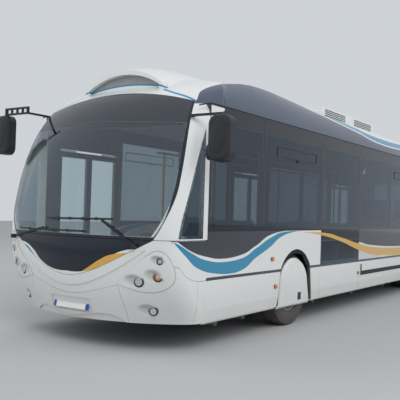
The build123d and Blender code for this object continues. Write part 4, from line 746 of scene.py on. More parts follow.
def round_bar(name, centre, radius, depth, axis="X", corners=32):
    """A round bar along one axis."""
    fresh()
    bpy.ops.mesh.primitive_cylinder_add(
        vertices=corners, radius=radius, depth=depth, location=centre, rotation=UPRIGHT[axis]
    )
    return settled(bpy.context.object, name)


def ball(name, centre, radius, segments, size=(1.0, 1.0, 1.0)):
    """A sphere, stretched by size."""
    fresh()
    rings = segments // 2
    bpy.ops.mesh.primitive_uv_sphere_add(segments=segments, ring_count=rings, radius=radius, location=centre)
    bpy.context.object.scale = size
    return settled(bpy.context.object, name)


def hoop(name, centre, turn, radii, segments):
    """A ring of round section; radii and segments are given round the ring and round its section."""
    fresh()
    bpy.ops.mesh.primitive_torus_add(
        location=centre, rotation=turn, major_radius=radii[0], minor_radius=radii[1],
        major_segments=segments[0], minor_segments=segments[1],
    )
    return settled(bpy.context.object, name)


def looks(direction):
    """Picks the faces that look along a direction."""
    return lambda face: face.normal.dot(direction) > 0.9


OUT, BACK, UP = looks(Vector((1, 0, 0))), looks(Vector((0, 1, 0))), looks(Vector((0, 0, 1)))


def pick(piece, wanted):
    """Goes into edit mode with just the wanted faces selected."""
    alone(piece)
    bpy.ops.object.mode_set(mode="EDIT")
    bpy.ops.mesh.select_mode(type="FACE")
    bpy.ops.mesh.select_all(action="DESELECT")
    mesh = bmesh.from_edit_mesh(piece.data)
    for face in mesh.faces:
        if wanted(face):
            face.select_set(True)
    bmesh.update_edit_mesh(piece.data)


def sunk(piece, wanted, *steps):
    """Insets the wanted faces once for each step, by its width and its height, below 0 for deeper."""
    pick(piece, wanted)
    for width, height in steps:
        bpy.ops.mesh.inset(thickness=width, depth=height)
    bpy.ops.object.mode_set(mode="OBJECT")
    return piece


def cut(place, normal, **keep):
    """Cuts the active piece along a plane."""
    bpy.ops.object.mode_set(mode="EDIT")
    bpy.ops.mesh.select_all(action="SELECT")
    bpy.ops.mesh.bisect(plane_co=place, plane_no=normal, **keep)
    bpy.ops.object.mode_set(mode="OBJECT")


def rounded(piece, width, segments=2, angle=40.0):
    """Rounds every edge sharper than the angle."""
    alone(piece)
    bevel = piece.modifiers.new("rounding", "BEVEL")
    bevel.width, bevel.segments, bevel.limit_method = width, segments, "ANGLE"
    bevel.angle_limit = math.radians(angle)
    bpy.ops.object.modifier_apply(modifier="rounding")
    return piece


def handed_over(piece, finish, body="body", second=None, is_second=None):
    """Smooth shading, finishes and body for a finished piece."""
    alone(piece)
    bpy.ops.object.shade_smooth_by_angle(angle=math.radians(35.0))
    piece.data.materials.clear()
    piece.data.materials.append(finish)
    if second:
        piece.data.materials.append(second)
        for face in piece.data.polygons:
            face.material_index = 1 if is_second(face) else 0
    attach(piece, body)
    piece.select_set(False)
    return piece

def copied(piece, matrix):
    """A copy with its own mesh, moved by a matrix and turned outside out again if mirrored."""
    made = piece.copy()
    made.data = piece.data.copy()
    bpy.context.collection.objects.link(made)
    made.data.transform(matrix)
    if matrix.determinant() < 0:
        made.data.flip_normals()
    return made


def joined(name, pieces):
    """Several meshes as one piece."""
    fresh()
    for piece in pieces:
        piece.select_set(True)
    bpy.context.view_layer.objects.active = pieces[0]
    if len(pieces) > 1:
        bpy.ops.object.join()
    pieces[0].name = name
    return pieces[0]


def spread(name, model, matrices):
    """Copies of a model at many places as one piece; the model itself goes."""
    made = joined(name, [copied(model, matrix) for matrix in matrices])
    bpy.data.objects.remove(model)
    return made


def pipe(name, points, radius, closed=False):
    """A round bar along a smooth line, made from a curve and turned into a mesh."""
    line = bpy.data.curves.new(name, "CURVE")
    line.dimensions, line.bevel_depth, line.bevel_resolution = "3D", radius, 2
    line.resolution_u, line.use_fill_caps = 8, not closed
    spline = line.splines.new("NURBS")
    spline.points.add(len(points) - 1)
    for knot, point in zip(spline.points, points):
        knot.co = (*point, 1.0)
    spline.use_endpoint_u, spline.use_cyclic_u, spline.order_u = not closed, closed, 3
    piece = bpy.data.objects.new(name, line)
    bpy.context.collection.objects.link(piece)
    alone(piece)
    bpy.ops.object.convert(target="MESH")
    return bpy.context.object


def to_side(side, y=0.0, z=0.0):
    """Moves by y and z, and mirrors to the door side where side is -1."""
    return Matrix.Diagonal((side, 1.0, 1.0, 1.0)) @ Matrix.Translation((0.0, y, z))


def on_side(side, piece):
    """Keeps a driver's side piece, or mirrors it to the door side."""
    piece.data.transform(to_side(side))
    if side < 0:
        piece.data.flip_normals()
    return piece


print("shaping helpers ready")

# %% [markdown]
# ## Where the nose stands
#
# Lamps, plate, seal and clips all sit on the raked nose, so they need its surface. It is given
# by plan sections: at each height a wide arc with its tip set back, then a corner arc.

# %% Nose surface
NOSE_Y, HALF = -6.05, 1.275
NOSE_ROWS = [
    (0.30, 0.115, 1.75, 0.30),
    (0.65, 0.030, 2.42, 0.30),
    (1.00, 0.000, 3.20, 0.24),
    (1.50, 0.048, 3.60, 0.235),
    (2.00, 0.177, 3.62, 0.241),
    (2.40, 0.362, 3.46, 0.255),
    (2.80, 0.702, 2.92, 0.35),
    (2.93, 0.930, 2.50, 0.40),
]


def nose_line(setback, nose_radius, corner_radius, x):
    """How far forward one plan section stands at x."""
    centre_y = NOSE_Y + setback + nose_radius
    corner_x = HALF - corner_radius
    corner_y = centre_y - math.sqrt((nose_radius - corner_radius) ** 2 - corner_x**2)
    turn = math.atan2(corner_x, centre_y - corner_y)
    if abs(x) < nose_radius * math.sin(turn):
        return centre_y - math.sqrt(nose_radius**2 - x**2)
    return corner_y - math.sqrt(max(corner_radius**2 - (abs(x) - corner_x) ** 2, 0.0))


def nose_front(x, z):
    """How far forward the nose stands at x and z."""
    for below, above in zip(NOSE_ROWS, NOSE_ROWS[1:]):
        if below[0] <= z <= above[0]:
            share = (z - below[0]) / (above[0] - below[0])
            return nose_line(*below[1:], x) * (1 - share) + nose_line(*above[1:], x) * share
    return NOSE_Y


print("tip of the nose", nose_front(0.0, 1.0))

# %% [markdown]
# ## Windscreen seal
#
# A rubber bead closes the gap between the egg-shaped glass and the pillars. It is one closed
# bar along the outline, laid on the nose.

# %% Windscreen seal
SEAL_HALF = [(0.0, 1.17), (0.35, 1.17), (0.7, 1.17), (0.98, 1.171), (1.045, 1.18), (1.08, 1.22)]
SEAL_HALF += [(1.123, 1.288), (1.179, 1.43), (1.203, 1.581), (1.217, 1.786), (1.203, 2.05), (1.176, 2.314)]
SEAL_HALF += [(1.14, 2.5), (1.098, 2.65), (0.98, 2.695), (0.75, 2.75), (0.4, 2.79), (0.0, 2.804)]
around = SEAL_HALF + [(-x, z) for x, z in SEAL_HALF[-2:0:-1]]
seal = pipe("windscreen_seal", [(x, nose_front(x, z) + 0.002, z) for x, z in around], 0.0065, closed=True)
handed_over(seal, seal_rubber)
print("seal faces", len(seal.data.polygons))

# %% [markdown]
# ## Headlamp rims and bulbs
#
# Each lens sits in a dark rim, with a small bright bulb cap in its middle. A torus per lamp,
# turned to the lamp's own axis, stands for the rim.

# %% Lamp rims
RIM_THICK, RIM_SUNK, CAP_AHEAD = 0.0055, 0.006, 0.0075
CAP_SHARE, CAP_FLAT = 0.3, 0.45
rims, caps = [], []
for _, lamp_x, lamp_z, radius, turn in FRONT_LAMPS:
    for side in (-1, 1):
        angle = math.radians(turn)
        axis = Vector((side * math.sin(angle), -math.cos(angle), 0.0))
        seat = Vector((side * lamp_x, nose_front(lamp_x, lamp_z), lamp_z)) + axis * -RIM_SUNK
        facing = axis.to_track_quat("Z", "Y").to_euler()
        rims.append(hoop("rim", seat, facing, (radius - 0.001, RIM_THICK), (40, 10)))
        dome = ball("cap", (0, 0, 0), radius * CAP_SHARE, 20)
        cut((0, 0, 0), (0, 0, 1), clear_inner=True, use_fill=True)
        seat_on_lens = Matrix.Translation(seat + axis * CAP_AHEAD) @ facing.to_matrix().to_4x4()
        dome.data.transform(seat_on_lens @ Matrix.Diagonal((1.0, 1.0, CAP_FLAT, 1.0)))
        caps.append(dome)
handed_over(joined("lamp_rims", rims), seal_rubber)
handed_over(joined("lamp_bulb_caps", caps), chrome)
print("lamp rims", len(rims))

# %% [markdown]
# ## Number plate
#
# A plate bends to follow the bumper. It is a thin block cut into strips, whose points are moved
# back with the square of their distance from the middle, with blank white between blue ends.

# %% Blank plates
PLATE_HALF, PLATE_HEIGHT, PLATE_THICK, PLATE_Z = 0.26, 0.11, 0.003, 0.452
PLATE_WHITE = 0.218


def number_plate(name, y, z, face, bend, lean):
    """A blank plate, 520 by 110 mm, that looks to -Y (face -1) or +Y."""
    half = (PLATE_HALF, PLATE_THICK, PLATE_HEIGHT / 2)
    plate = block(name, [-size for size in half], half)
    sunk(plate, lambda f: abs(f.normal.y) > 0.9, (0.006, 0.0), (0.003, -0.0012))
    for place in [-PLATE_WHITE, PLATE_WHITE] + [PLATE_HALF * k / 6 for k in range(-5, 6)]:
        cut((place, 0, 0), (1, 0, 0))
    plate = rounded(plate, 0.001, 1)
    for vertex in plate.data.vertices:
        vertex.co.y += -face * vertex.co.x**2 * bend
    plate.data.transform(Matrix.Translation((0.0, y, z)) @ Matrix.Rotation(math.radians(lean), 4, "X"))
    blue_ends = lambda f: abs(f.center.x) > PLATE_WHITE
    return handed_over(plate, plate_white, second=plate_blue, is_second=blue_ends)


number_plate("front_plate", nose_front(0.0, PLATE_Z) + 0.009, PLATE_Z, -1, 0.22, -12.0)
number_plate("rear_plate", 6.0465, 0.40, 1, 0.0, 0.0)
print("plates", 2)

# %% [markdown]
# ## Wheel arch lips
#
# The dark ring inside each arch is a rubber lip. Its line runs up one leaning side, over the
# crown and down the other, a little inside the panel's edge.

# %% Arch lips
FRONT_AXLE_Y, REAR_AXLE_Y, AXLE_Z = -3.125, 2.995, 0.478
ARCH_LINE = [(-0.506, 0.31), (-0.475, 0.53), (-0.444, 0.742), (-0.425, 0.82), (-0.35, 0.915)]
ARCH_LINE += [(-0.2, 0.985), (0.0, 0.999)]
LIP_X, LIP_RADIUS = 1.262, 0.012
lips = []
for axle_y in (FRONT_AXLE_Y, REAR_AXLE_Y):
    for side in (-1, 1):
        line = ARCH_LINE + [(-y, z) for y, z in ARCH_LINE[-2::-1]]
        for inset in (0.008, 0.028):
            x = side * (LIP_X - inset * 0.4)
            points = [(x, axle_y + y * (1 - inset * 2), z - inset * (z > 0.6)) for y, z in line]
            lips.append(pipe("lip", points, LIP_RADIUS))
arch_lips = handed_over(joined("arch_lips", lips), arch_rubber)
print("arch lip faces", len(arch_lips.data.polygons))

# %% [markdown]
# ## Side mouldings and marker lamps
#
# A black rubbing strip guards the skirt behind the first two bays. It is a long block whose
# outer face is inset twice to leave a rib. Amber markers stand on black feet.

# %% Rubbing strips
SIDE_X, STRIP_X, STRIP_BAND = 1.2745, 1.281, (0.522, 0.588)
STRIPS = [(1, -0.75, 2.50, *STRIP_BAND), (1, 3.49, 5.70, *STRIP_BAND), (-1, 0.60, 2.50, *STRIP_BAND)]
STRIPS += [(-1, -2.62, -0.80, *STRIP_BAND), (1, -0.75, -0.712, 0.592, 0.70), (-1, 5.09, 5.70, *STRIP_BAND)]
strips = []
for side, start, end, low, high in STRIPS:
    strip = block("strip", (SIDE_X, start, low), (STRIP_X, end, high))
    strip = rounded(sunk(strip, OUT, (0.012, 0.0035), (0.008, -0.002)), 0.0015, 2, 30.0)
    strips.append(on_side(side, strip))
handed_over(joined("rubbing_strips", strips), seal_rubber)
print("rubbing strips", len(STRIPS))

# %% Marker lamps
MARKERS = [(1, -3.801, 0.913), (-1, -3.75, 0.913), (1, -3.70, 0.564), (1, -0.856, 0.565)]
MARKERS += [(1, 1.9, 0.64), (1, 4.3, 0.64), (-1, -2.5, 0.64), (-1, 1.9, 0.64), (-1, 5.3, 0.64)]
FOOT_TOP = 1.2815
marker = block("marker", (SIDE_X, -0.036, -0.024), (1.280, 0.036, 0.024))
pick(marker, OUT)
bpy.ops.mesh.inset(thickness=0.006, depth=0.0)
bpy.ops.mesh.extrude_region_shrink_fatten(TRANSFORM_OT_shrink_fatten={"value": 0.012})
bpy.ops.mesh.inset(thickness=0.006, depth=0.004)
bpy.ops.object.mode_set(mode="OBJECT")
marker = rounded(marker, 0.0025, 2, 30.0)
markers = spread("marker_lamps", marker, [to_side(*spot) for spot in MARKERS])
above_foot = lambda f: abs(f.center.x) > FOOT_TOP
handed_over(markers, seal_rubber, second=amber_lens, is_second=above_foot)
print("markers", len(MARKERS))

# %% [markdown]
# ## Hopper vents
#
# The upper part of some panes tips inwards. Its frame is a flat sheet with round corners, inset
# and opened, then thickened, with a catch in the middle.


# %% Window vents
GLASS_X = 1.2755


def flat_ring(name, z, size_y, size_z, corner, width, thick):
    """An upright rounded frame on the +X side, centred at z."""
    fresh()
    bpy.ops.mesh.primitive_plane_add(size=1.0, location=(GLASS_X, 0.0, z), rotation=UPRIGHT["X"])
    ring = bpy.context.object
    ring.scale = (size_z, size_y, 1.0)
    settled(ring, name)
    bpy.ops.object.mode_set(mode="EDIT")
    bpy.ops.mesh.select_all(action="SELECT")
    bpy.ops.mesh.bevel(offset=corner, segments=5, affect="VERTICES")
    bpy.ops.mesh.inset(thickness=width, depth=0.0)
    bpy.ops.mesh.delete(type="FACE")
    bpy.ops.object.mode_set(mode="OBJECT")
    wall = ring.modifiers.new("wall", "SOLIDIFY")
    wall.thickness, wall.offset = thick, 1.0
    bpy.ops.object.modifier_apply(modifier="wall")
    return rounded(ring, thick * 0.3, 2, 60.0)


VENTS = [(1, -3.16), (1, 1.44), (1, 4.45), (-1, -3.12), (-1, 1.41), (-1, 2.99)]
vent = flat_ring("vent", 2.258, 1.18, 0.137, 0.022, 0.013, 0.005)
catch = rounded(block("catch", (GLASS_X, -0.022, 2.165), (1.287, 0.022, 2.192)), 0.003)
vents = spread("window_vents", joined("vent", [vent, catch]), [to_side(*spot) for spot in VENTS])
handed_over(vents, black_plastic)
print("vents", len(VENTS))

# %% [markdown]
# ## Gutter
#
# A slim rail between window band and fairing throws rain clear. It is a block with its outer
# face drawn up into a lip, and at the front it runs down along the nose.

# %% Gutter rails
RAIL_END = [(1.276, -5.25, 2.628), (1.268, -5.30, 2.620), (1.24, -5.35, 2.605), (1.20, -5.385, 2.592)]
rails = []
for side in (-1, 1):
    rail = sunk(block("rail", (SIDE_X, -5.25, 2.622), (1.281, 5.72, 2.634)), OUT, (0.002, 0.002))
    rails.append(on_side(side, rounded(rail, 0.0015, 2)))
    rails.append(pipe("rail_end", [(side * x, y, z) for x, y, z in RAIL_END], 0.0065))
handed_over(joined("gutters", rails), seal_rubber)
print("gutters", 2)

# %% [markdown]
# ## Tyres
#
# The solid tyres are smooth, so the shown ones are new: a closed section with four grooves is
# spun about the axle, and every third tread face on the shoulders is pressed in. The wheels
# ride on the same bodies as the solids that they stand for.

# %% Tyre with a tread
TYRE_RADIUS, TREAD_HALF, TREAD_DEEP, TREAD_FALL = 0.478, 0.114, 0.011, 0.009
SECTION = [(-0.0945, 0.2865), (-0.118, 0.300), (-0.131, 0.340), (-0.136, 0.378), (-0.1345, 0.392)]
SECTION += [(-0.134, 0.402), (-0.131, 0.432), (-0.124, 0.455), (-TREAD_HALF, 0.469)]
for groove in (-0.075, -0.026, 0.026, 0.075):
    for away, deep in ((-0.005, 0.0), (-0.0035, TREAD_DEEP), (0.0035, TREAD_DEEP), (0.005, 0.0)):
        x = groove + away
        SECTION.append((x, TYRE_RADIUS - TREAD_FALL * (x / TREAD_HALF) ** 2 - deep))
SECTION += [(-x, radius) for x, radius in SECTION[8::-1]]
SPIN_STEPS = 96

fresh()
bpy.ops.mesh.primitive_circle_add(vertices=len(SECTION), fill_type="NOTHING")
tyre = bpy.context.object
for vertex, (x, radius) in zip(tyre.data.vertices, SECTION):
    vertex.co = (x, 0.0, radius)
bpy.ops.object.mode_set(mode="EDIT")
bpy.ops.mesh.select_all(action="SELECT")
bpy.ops.mesh.spin(steps=SPIN_STEPS, angle=2 * math.pi, center=(0, 0, 0), axis=(1, 0, 0))
bpy.ops.mesh.select_all(action="SELECT")
bpy.ops.mesh.remove_doubles(threshold=0.0001)
bpy.ops.mesh.normals_make_consistent(inside=False)
bpy.ops.object.mode_set(mode="OBJECT")


def on_notch(face):
    """Every third face of both shoulders."""
    middle = face.calc_center_median()
    step = int(round(math.atan2(middle.z, middle.y) / (2 * math.pi) * SPIN_STEPS - 0.5))
    reach = math.hypot(middle.y, middle.z)
    return step % 3 == 0 and 0.081 < abs(middle.x) < TREAD_HALF and reach > 0.46


sunk(tyre, on_notch, (0.003, 0.0), (0.002, -0.008))
ENDS = [
    ("front", "", FRONT_AXLE_Y, (1.072,), 1.108, None),
    ("rear", "s", REAR_AXLE_Y, (1.082, 0.764), 1.023, 1.045),
]
WHEELS = [(f"{end[0]}_{hand}", side, *end[1:]) for end in ENDS for hand, side in (("left", 1), ("right", -1))]
for corner, side, plural, axle_y, middles, _, _ in WHEELS:
    places = [Matrix.Translation((side * x, axle_y, AXLE_Z)) for x in middles]
    rubber = joined(f"{corner}_treaded_tyre", [copied(tyre, place) for place in places])
    handed_over(rubber, tyre_rubber, f"{corner}_wheel{plural}")
    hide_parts(f"{corner}_tyre{plural}")
bpy.data.objects.remove(tyre)
print("tyre faces", len(rubber.data.polygons))

# %% [markdown]
# ## Wheel nuts and hub caps
#
# Ten nuts hold each wheel. One nut is a six-sided bar with a flange and a stud, and it is
# copied round the hub. On the rear wheels a stepped cap closes the hub.

# %% Nuts and hubs
NUT_COUNT, NUT_CIRCLE = 10, 0.150
nut = rounded(round_bar("nut", (0.014, 0.0, NUT_CIRCLE), 0.0175, 0.024, corners=6), 0.002, 1)
flange = round_bar("flange", (0.002, 0.0, NUT_CIRCLE), 0.021, 0.004, corners=20)
stud = rounded(round_bar("stud", (0.022, 0.0, NUT_CIRCLE), 0.0105, 0.032, corners=14), 0.002, 1)
nut = joined("nut", [nut, flange, stud])
hub = round_bar("hub", (0.022, 0.0, 0.0), 0.112, 0.05, corners=40)
hub = rounded(sunk(hub, OUT, (0.018, 0.014), (0.045, 0.006), (0.012, -0.004)), 0.004, 2, 25.0)
for corner, side, plural, axle_y, _, disc_x, hub_x in WHEELS:
    seat = Matrix.Translation((side * disc_x, axle_y, AXLE_Z)) @ to_side(side)
    turns = [Matrix.Rotation(2 * math.pi * k / NUT_COUNT, 4, "X") for k in range(NUT_COUNT)]
    ring = [copied(nut, seat @ turn) for turn in turns]
    if hub_x:
        ring.append(copied(hub, Matrix.Translation((side * hub_x, axle_y, AXLE_Z)) @ to_side(side)))
    handed_over(joined(f"{corner}_wheel_nuts", ring), steel, f"{corner}_wheel{plural}")
bpy.data.objects.remove(nut)
bpy.data.objects.remove(hub)
print("nuts", len(WHEELS) * NUT_COUNT)

# %% [markdown]
# ## Flap in the wheel cover
#
# A small square flap in each front wheel cover gives a hand to the valve. It is a thin block
# with its face inset, and its finger hole is a small round bar sunk in its face, given black
# plastic as painted shade for the depth of a hole.

# %% Cover flaps
FLAP_Y, FLAP_FOOT, HOLE_UP, HOLE_RADIUS = -2.985, 0.325, 0.058, 0.009
flap = block("flap", (1.2600, -0.058, 0.0), (1.2635, 0.058, 0.118))
flap = rounded(sunk(flap, OUT, (0.004, -0.0012), (0.004, 0.0014)), 0.0008, 1, 30.0)
hole = sunk(round_bar("hole", (1.2625, 0.0, HOLE_UP), HOLE_RADIUS, 0.004, corners=20), OUT, (0.003, -0.003))
# Painted shade: the sunk face of the finger hole gets black plastic, standing in for the shade inside a hole.
dark = lambda f: math.hypot(f.center.y - FLAP_Y, f.center.z - FLAP_FOOT - HOLE_UP) < HOLE_RADIUS + 0.0005
for side, name in ((1, "left"), (-1, "right")):
    spot = to_side(side, FLAP_Y, FLAP_FOOT)
    cover_flap = joined(f"{name}_cover_flap", [copied(flap, spot), copied(hole, spot)])
    handed_over(cover_flap, white_paint, f"{name}_knuckle", black_plastic, dark)
bpy.data.objects.remove(flap)
bpy.data.objects.remove(hole)
print("cover flaps", 2)

# %% [markdown]
# ## Mirrors
#
# The glass looks backwards, so it is on the rear face of each housing: a tall main glass over
# a wide-angle one. In front each housing has an oval swelling, the left one a side lobe too.

# %% Mirror glasses and swellings
PANE_HALF, PANE_GAP, SPLIT_SHARE = 0.088, 0.006, 0.3
panes = []
for middle, back_y, low, high in ((1.5435, -5.390, 2.02, 2.43), (-1.5575, -5.605, 2.15, 2.565)):
    split = low + (high - low) * SPLIT_SHARE
    for foot, top in ((low, split - PANE_GAP), (split + PANE_GAP, high)):
        corners = (middle - PANE_HALF, back_y - 0.002, foot), (middle + PANE_HALF, back_y + 0.0045, top)
        pane = sunk(block("pane", *corners), BACK, (0.007, 0.0), (0.002, -0.002))
        panes.append(rounded(pane, 0.002, 2, 30.0))
face = lambda f: BACK(f) and f.area > 0.004
glasses = joined("mirror_glasses", panes)
handed_over(glasses, black_plastic, second=mirror_glass, is_second=face)


def swelling(name, centre, size, flat_y):
    """A rounded oval boss: a sphere scaled and cut flat behind."""
    boss = ball(name, centre, 0.5, 40, size)
    cut((0, flat_y, 0), (0, 1, 0), clear_outer=True, use_fill=True)
    return boss


bosses = [
    swelling("boss", (1.5435, -5.538, 2.235), (0.17, 0.045, 0.35), -5.52),
    swelling("lobe", (1.405, -5.47, 2.085), (0.085, 0.09, 0.17), -5.42),
    swelling("boss", (-1.5575, -5.743, 2.36), (0.16, 0.03, 0.36), -5.72),
]
handed_over(joined("mirror_bosses", bosses), black_plastic)
print("mirror panes", len(panes))

# %% [markdown]
# ## Wiper fittings
#
# Each arm turns on a domed nut cap, and a slim spring bar and clips hold the blade.

# %% Wiper fittings
CAP_OFF, SPRING_OFF, CLIP_OFF = 0.052, 0.040, 0.030
fittings = []
for x, z in ((0.861, 1.11), (-1.04, 1.12)):
    cap = round_bar("cap", (x, nose_front(x, z) - CAP_OFF, z), 0.026, 0.022, "Y", 24)
    fittings.append(rounded(sunk(cap, looks(Vector((0, -1, 0))), (0.008, 0.006)), 0.003, 2, 30.0))
for ends in (((0.80, 1.148), (0.50, 1.335)), ((-0.98, 1.132), (-0.46, 1.232))):
    fittings.append(pipe("spring", [(x, nose_front(x, z) - SPRING_OFF, z) for x, z in ends], 0.0045))
for start, end in (((0.571, 1.369), (-0.341, 1.353)), ((-0.90, 1.222), (0.23, 1.231))):
    for share in (0.2, 0.4, 0.6, 0.8):
        x, z = (a + (b - a) * share for a, b in zip(start, end))
        y = nose_front(x, z) - CLIP_OFF
        clip = block("clip", (x - 0.014, y - 0.004, z - 0.017), (x + 0.014, y + 0.012, z + 0.017))
        fittings.append(rounded(clip, 0.003))
handed_over(joined("wiper_fittings", fittings), black_plastic)
print("wiper fittings", len(fittings))

# %% [markdown]
# ## On the roof
#
# The air conditioner breathes through two fans under guards of rings and spokes, with louvres
# at its sides. Three hatches let air in.

# %% Fan guards
FAN_X, FAN_Y, SPOKES = 0.42, -0.3, 4
parts = []
for x in (-FAN_X, FAN_X):
    for radius in (0.06, 0.13, 0.20, 0.27, 0.33):
        parts.append(hoop("ring", (x, FAN_Y, 3.222), UPRIGHT["Z"], (radius, 0.005), (48, 6)))
    for k in range(SPOKES):
        bar = rounded(block("bar", (-0.335, -0.005, 3.213), (0.335, 0.005, 3.219)), 0.001, 1)
        turn = Matrix.Rotation(math.pi * k / SPOKES, 4, "Z")
        bar.data.transform(Matrix.Translation((x, FAN_Y, 0.0)) @ turn)
        parts.append(bar)
    well = round_bar("well", (x, FAN_Y, 3.2125), 0.345, 0.007, "Z", 48)
    parts.append(rounded(sunk(well, UP, (0.02, 0.0), (0.004, -0.004)), 0.001, 1, 30.0))
handed_over(joined("fan_guards", parts), black_plastic)
print("fan guard parts", len(parts))

# %% Roof hatches and side louvres
HATCHES = (-2.3, 2.2, 4.3)
LOUVRE_FOOT, LOUVRE_TOP, LOUVRE_STEP = 3.045, 3.057, 0.03
hatch = block("roof_hatch", (-0.42, -0.36, 3.040), (0.42, 0.36, 3.075))
hatch = rounded(sunk(hatch, UP, (0.05, 0.012), (0.06, -0.006)), 0.008, 3, 20.0)
hatches = spread("roof_hatches", hatch, [Matrix.Translation((0.0, y, 0.0)) for y in HATCHES])
handed_over(hatches, white_paint)
louvres = []
for side in (-1, 1):
    for row in range(5):
        rise = row * LOUVRE_STEP
        for y in (-0.95, 0.30):
            slat = block("slat", (0.846, y - 0.42, LOUVRE_FOOT + rise), (0.858, y + 0.42, LOUVRE_TOP + rise))
            louvres.append(on_side(side, rounded(slat, 0.003, 1)))
handed_over(joined("air_louvres", louvres), black_plastic)
print("roof hatches", len(HATCHES), "louvres", len(louvres))

# %% [markdown]
# ## Small lights and vents on the front corners
#
# A clear marker and a dark drop-shaped vent sit in each fairing beside the brow.

# %% Fairing markers and vents
DROP_Y, DROP_Z, DROP_FALL, DROP_TAPER = -4.635, 2.76, 0.7, 9.0
spots, drops = [], []
for side in (-1, 1):
    dome = swelling("marker", (1.232, -5.02, 2.715), (0.05, 0.055, 0.09), -5.00)
    spots.append(on_side(side, dome))
handed_over(joined("corner_markers", spots), clear_lens)
for side in (-1, 1):
    drop = round_bar("drop", (1.252, DROP_Y, DROP_Z), 0.045, 0.012, "X", 24)
    for vertex in drop.data.vertices:
        below = max(0.0, DROP_Z - vertex.co.z)
        vertex.co.z -= below * DROP_FALL
        vertex.co.y = DROP_Y + (vertex.co.y - DROP_Y) * (1.0 - below * DROP_TAPER)
    drops.append(on_side(side, rounded(drop, 0.003, 2, 40.0)))
handed_over(joined("fairing_vents", drops), seal_rubber)
print("corner pieces", len(spots) + len(drops))

# %% [markdown]
# ## Seat cushions
#
# The moulded shells are bare, so each gets a base cushion and a back pad. Each kind is made
# once: a block is remeshed to small squares and blown up as cloth that is full of air, and
# no point may move farther than the cap. It is then copied to every seat.

# %% Blow up the pads
CUSHION_CAP, SQUARE, AIR_STEPS, AIR_FORCE = 0.016, 0.014, 20, 4.0
SEAT_TILT, BACK_TILT, SEAT_WIDE, CHANNEL_WIDE, CHANNEL_DEEP = -0.0764, -0.1023, 0.43, 0.016, 0.006
AISLE_X, WINDOW_X, PLATFORM_Z, REAR_Z = 0.552, 0.988, 0.34, 0.92


def puffed(name, low, high):
    """A padded block: a crowned form whose sides pull in between its corners."""
    pad = rounded(block(name, low, high), 0.012, 3)
    remesh = pad.modifiers.new("grid", "REMESH")
    remesh.mode = "VOXEL"
    remesh.voxel_size = SQUARE
    bpy.ops.object.modifier_apply(modifier=remesh.name)
    start = [Vector(vertex.co) for vertex in pad.data.vertices]
    cloth = pad.modifiers.new("air", "CLOTH")
    cloth.settings.use_pressure = True
    cloth.settings.uniform_pressure_force = AIR_FORCE
    cloth.settings.effector_weights.gravity = 0.0
    for step in range(1, AIR_STEPS + 1):
        bpy.context.scene.frame_set(step)
    bpy.ops.object.modifier_apply(modifier=cloth.name)
    bpy.context.scene.frame_set(1)
    for vertex, place in zip(pad.data.vertices, start):
        shift = vertex.co - place
        if shift.length > CUSHION_CAP:
            vertex.co = place + shift * (CUSHION_CAP / shift.length)
    alone(pad)
    bpy.ops.object.shade_smooth()
    return pad


def channels(pad, across, lines, width, deep, out):
    """Press sewn channels in: points near each line sink a little against the out direction."""
    for vertex in pad.data.vertices:
        near = min(abs(vertex.co[across] - line) for line in lines)
        if near < width and vertex.normal.dot(out) > 0.3:
            vertex.co -= out * deep * (1.0 - (near / width) ** 2)


def placed_pads(kind, model, seats, tilt, foot):
    """Copies of one pad on all its seats, widened to the seat and tilted as its shell is."""
    lie = Matrix.Translation(foot) @ Matrix.Rotation(tilt, 4, "X")
    spots = []
    for x, y, z, wide in seats:
        spots.append(Matrix.Translation((x, y, z)) @ lie @ Matrix.Diagonal((wide / SEAT_WIDE, 1.0, 1.0, 1.0)))
    return joined(kind, [copied(model, spot) for spot in spots])


ROWS = [(-1, -1.75), (1, -1.75), (1, -0.95), (1, -0.15), (1, 0.65), (-1, 1.45), (1, 1.45), (1, 4.10)]
SEATS = [(side * x, y, PLATFORM_Z, SEAT_WIDE) for side, y in ROWS for x in (WINDOW_X, AISLE_X)]
SEATS += [(x, 5.40, REAR_Z, SEAT_WIDE) for x in (-WINDOW_X, -AISLE_X, 0.0, AISLE_X, WINDOW_X)]
DRIVER = [(0.56, -4.66, 0.40, 0.50)]
base_pad = puffed("base_pad", (-0.190, -0.285, 0.014), (0.190, -0.005, 0.040))
channels(base_pad, 1, (-0.205, -0.125, -0.045), CHANNEL_WIDE, CHANNEL_DEEP, Vector((0, 0, 1)))
back_pad = puffed("back_pad", (-0.188, -0.036, 0.050), (0.188, -0.012, 0.480))
channels(back_pad, 2, (0.14, 0.24, 0.34), CHANNEL_WIDE, CHANNEL_DEEP, Vector((0, -1, 0)))
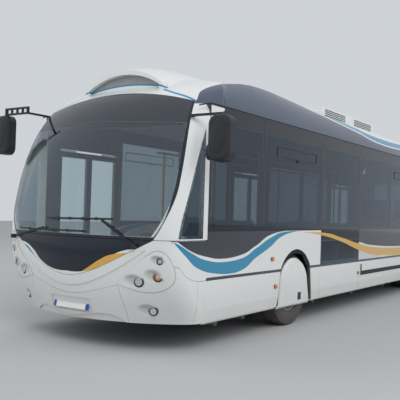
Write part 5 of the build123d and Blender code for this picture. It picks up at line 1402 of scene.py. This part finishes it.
for owner, seats in (("passenger", SEATS), ("driver", DRIVER)):
    cushions = placed_pads(f"{owner}_cushions", base_pad, seats, SEAT_TILT, (0.0, 0.078, 0.448))
    handed_over(cushions, seat_cloth)
    backs = placed_pads(f"{owner}_back_pads", back_pad, seats, BACK_TILT, (0.0, 0.158, 0.478))
    handed_over(backs, seat_cloth)
bpy.data.objects.remove(base_pad)
bpy.data.objects.remove(back_pad)
print("padded seats", len(SEATS) + len(DRIVER))

# %% [markdown]
# ## Studio
#
# A pale floor, large soft lamps and an even sky keep the light plain, so that each colour
# renders about as it is written. The glass mirrors the even sky, not the lamps.


# %% Floor and light
def plain(name, colour):
    finish = Finish(name, Roughness=0.9)
    finish.set(Base_Color=finish.mix(finish.noise(1.2, 3.0) * 0.15, colour, darker(colour, 0.9)))
    return finish.material


fresh()
bpy.ops.mesh.primitive_plane_add(size=90.0, location=(0.0, 10.0, 0.0))
ground = bpy.context.object
ground.name = "studio_floor"
ground.data.materials.append(plain("pale_floor", rgb(0.5, 0.5, 0.5)))

world = bpy.data.worlds.new("soft_sky")
bpy.context.scene.world = world
world.use_nodes = True
sky = world.node_tree.nodes["Background"]
sky.inputs["Color"].default_value = (0.86, 0.9, 0.95, 1.0)
sky.inputs["Strength"].default_value = 0.72

LAMP_SIZE, AIM = 8.0, Vector((0.0, 0.0, 1.2))
LAMPS = [
    ("key_lamp", (9.0, -12.0, 11.0), 700.0),
    ("side_lamp", (12.0, 2.0, 8.0), 400.0),
    ("fill_lamp", (-10.0, -10.0, 7.0), 300.0),
    ("back_lamp", (-6.0, 12.0, 9.0), 350.0),
]
for name, spot, power in LAMPS:
    bpy.ops.object.light_add(type="AREA", location=spot)
    lamp = bpy.context.object
    lamp.name = name
    lamp.data.size = LAMP_SIZE
    lamp.data.energy = power
    lamp.visible_glossy = False
    lamp.rotation_euler = (AIM - Vector(spot)).to_track_quat("-Z", "Y").to_euler()
bpy.context.scene.view_settings.view_transform = "Standard"
print("lamps", len(LAMPS))
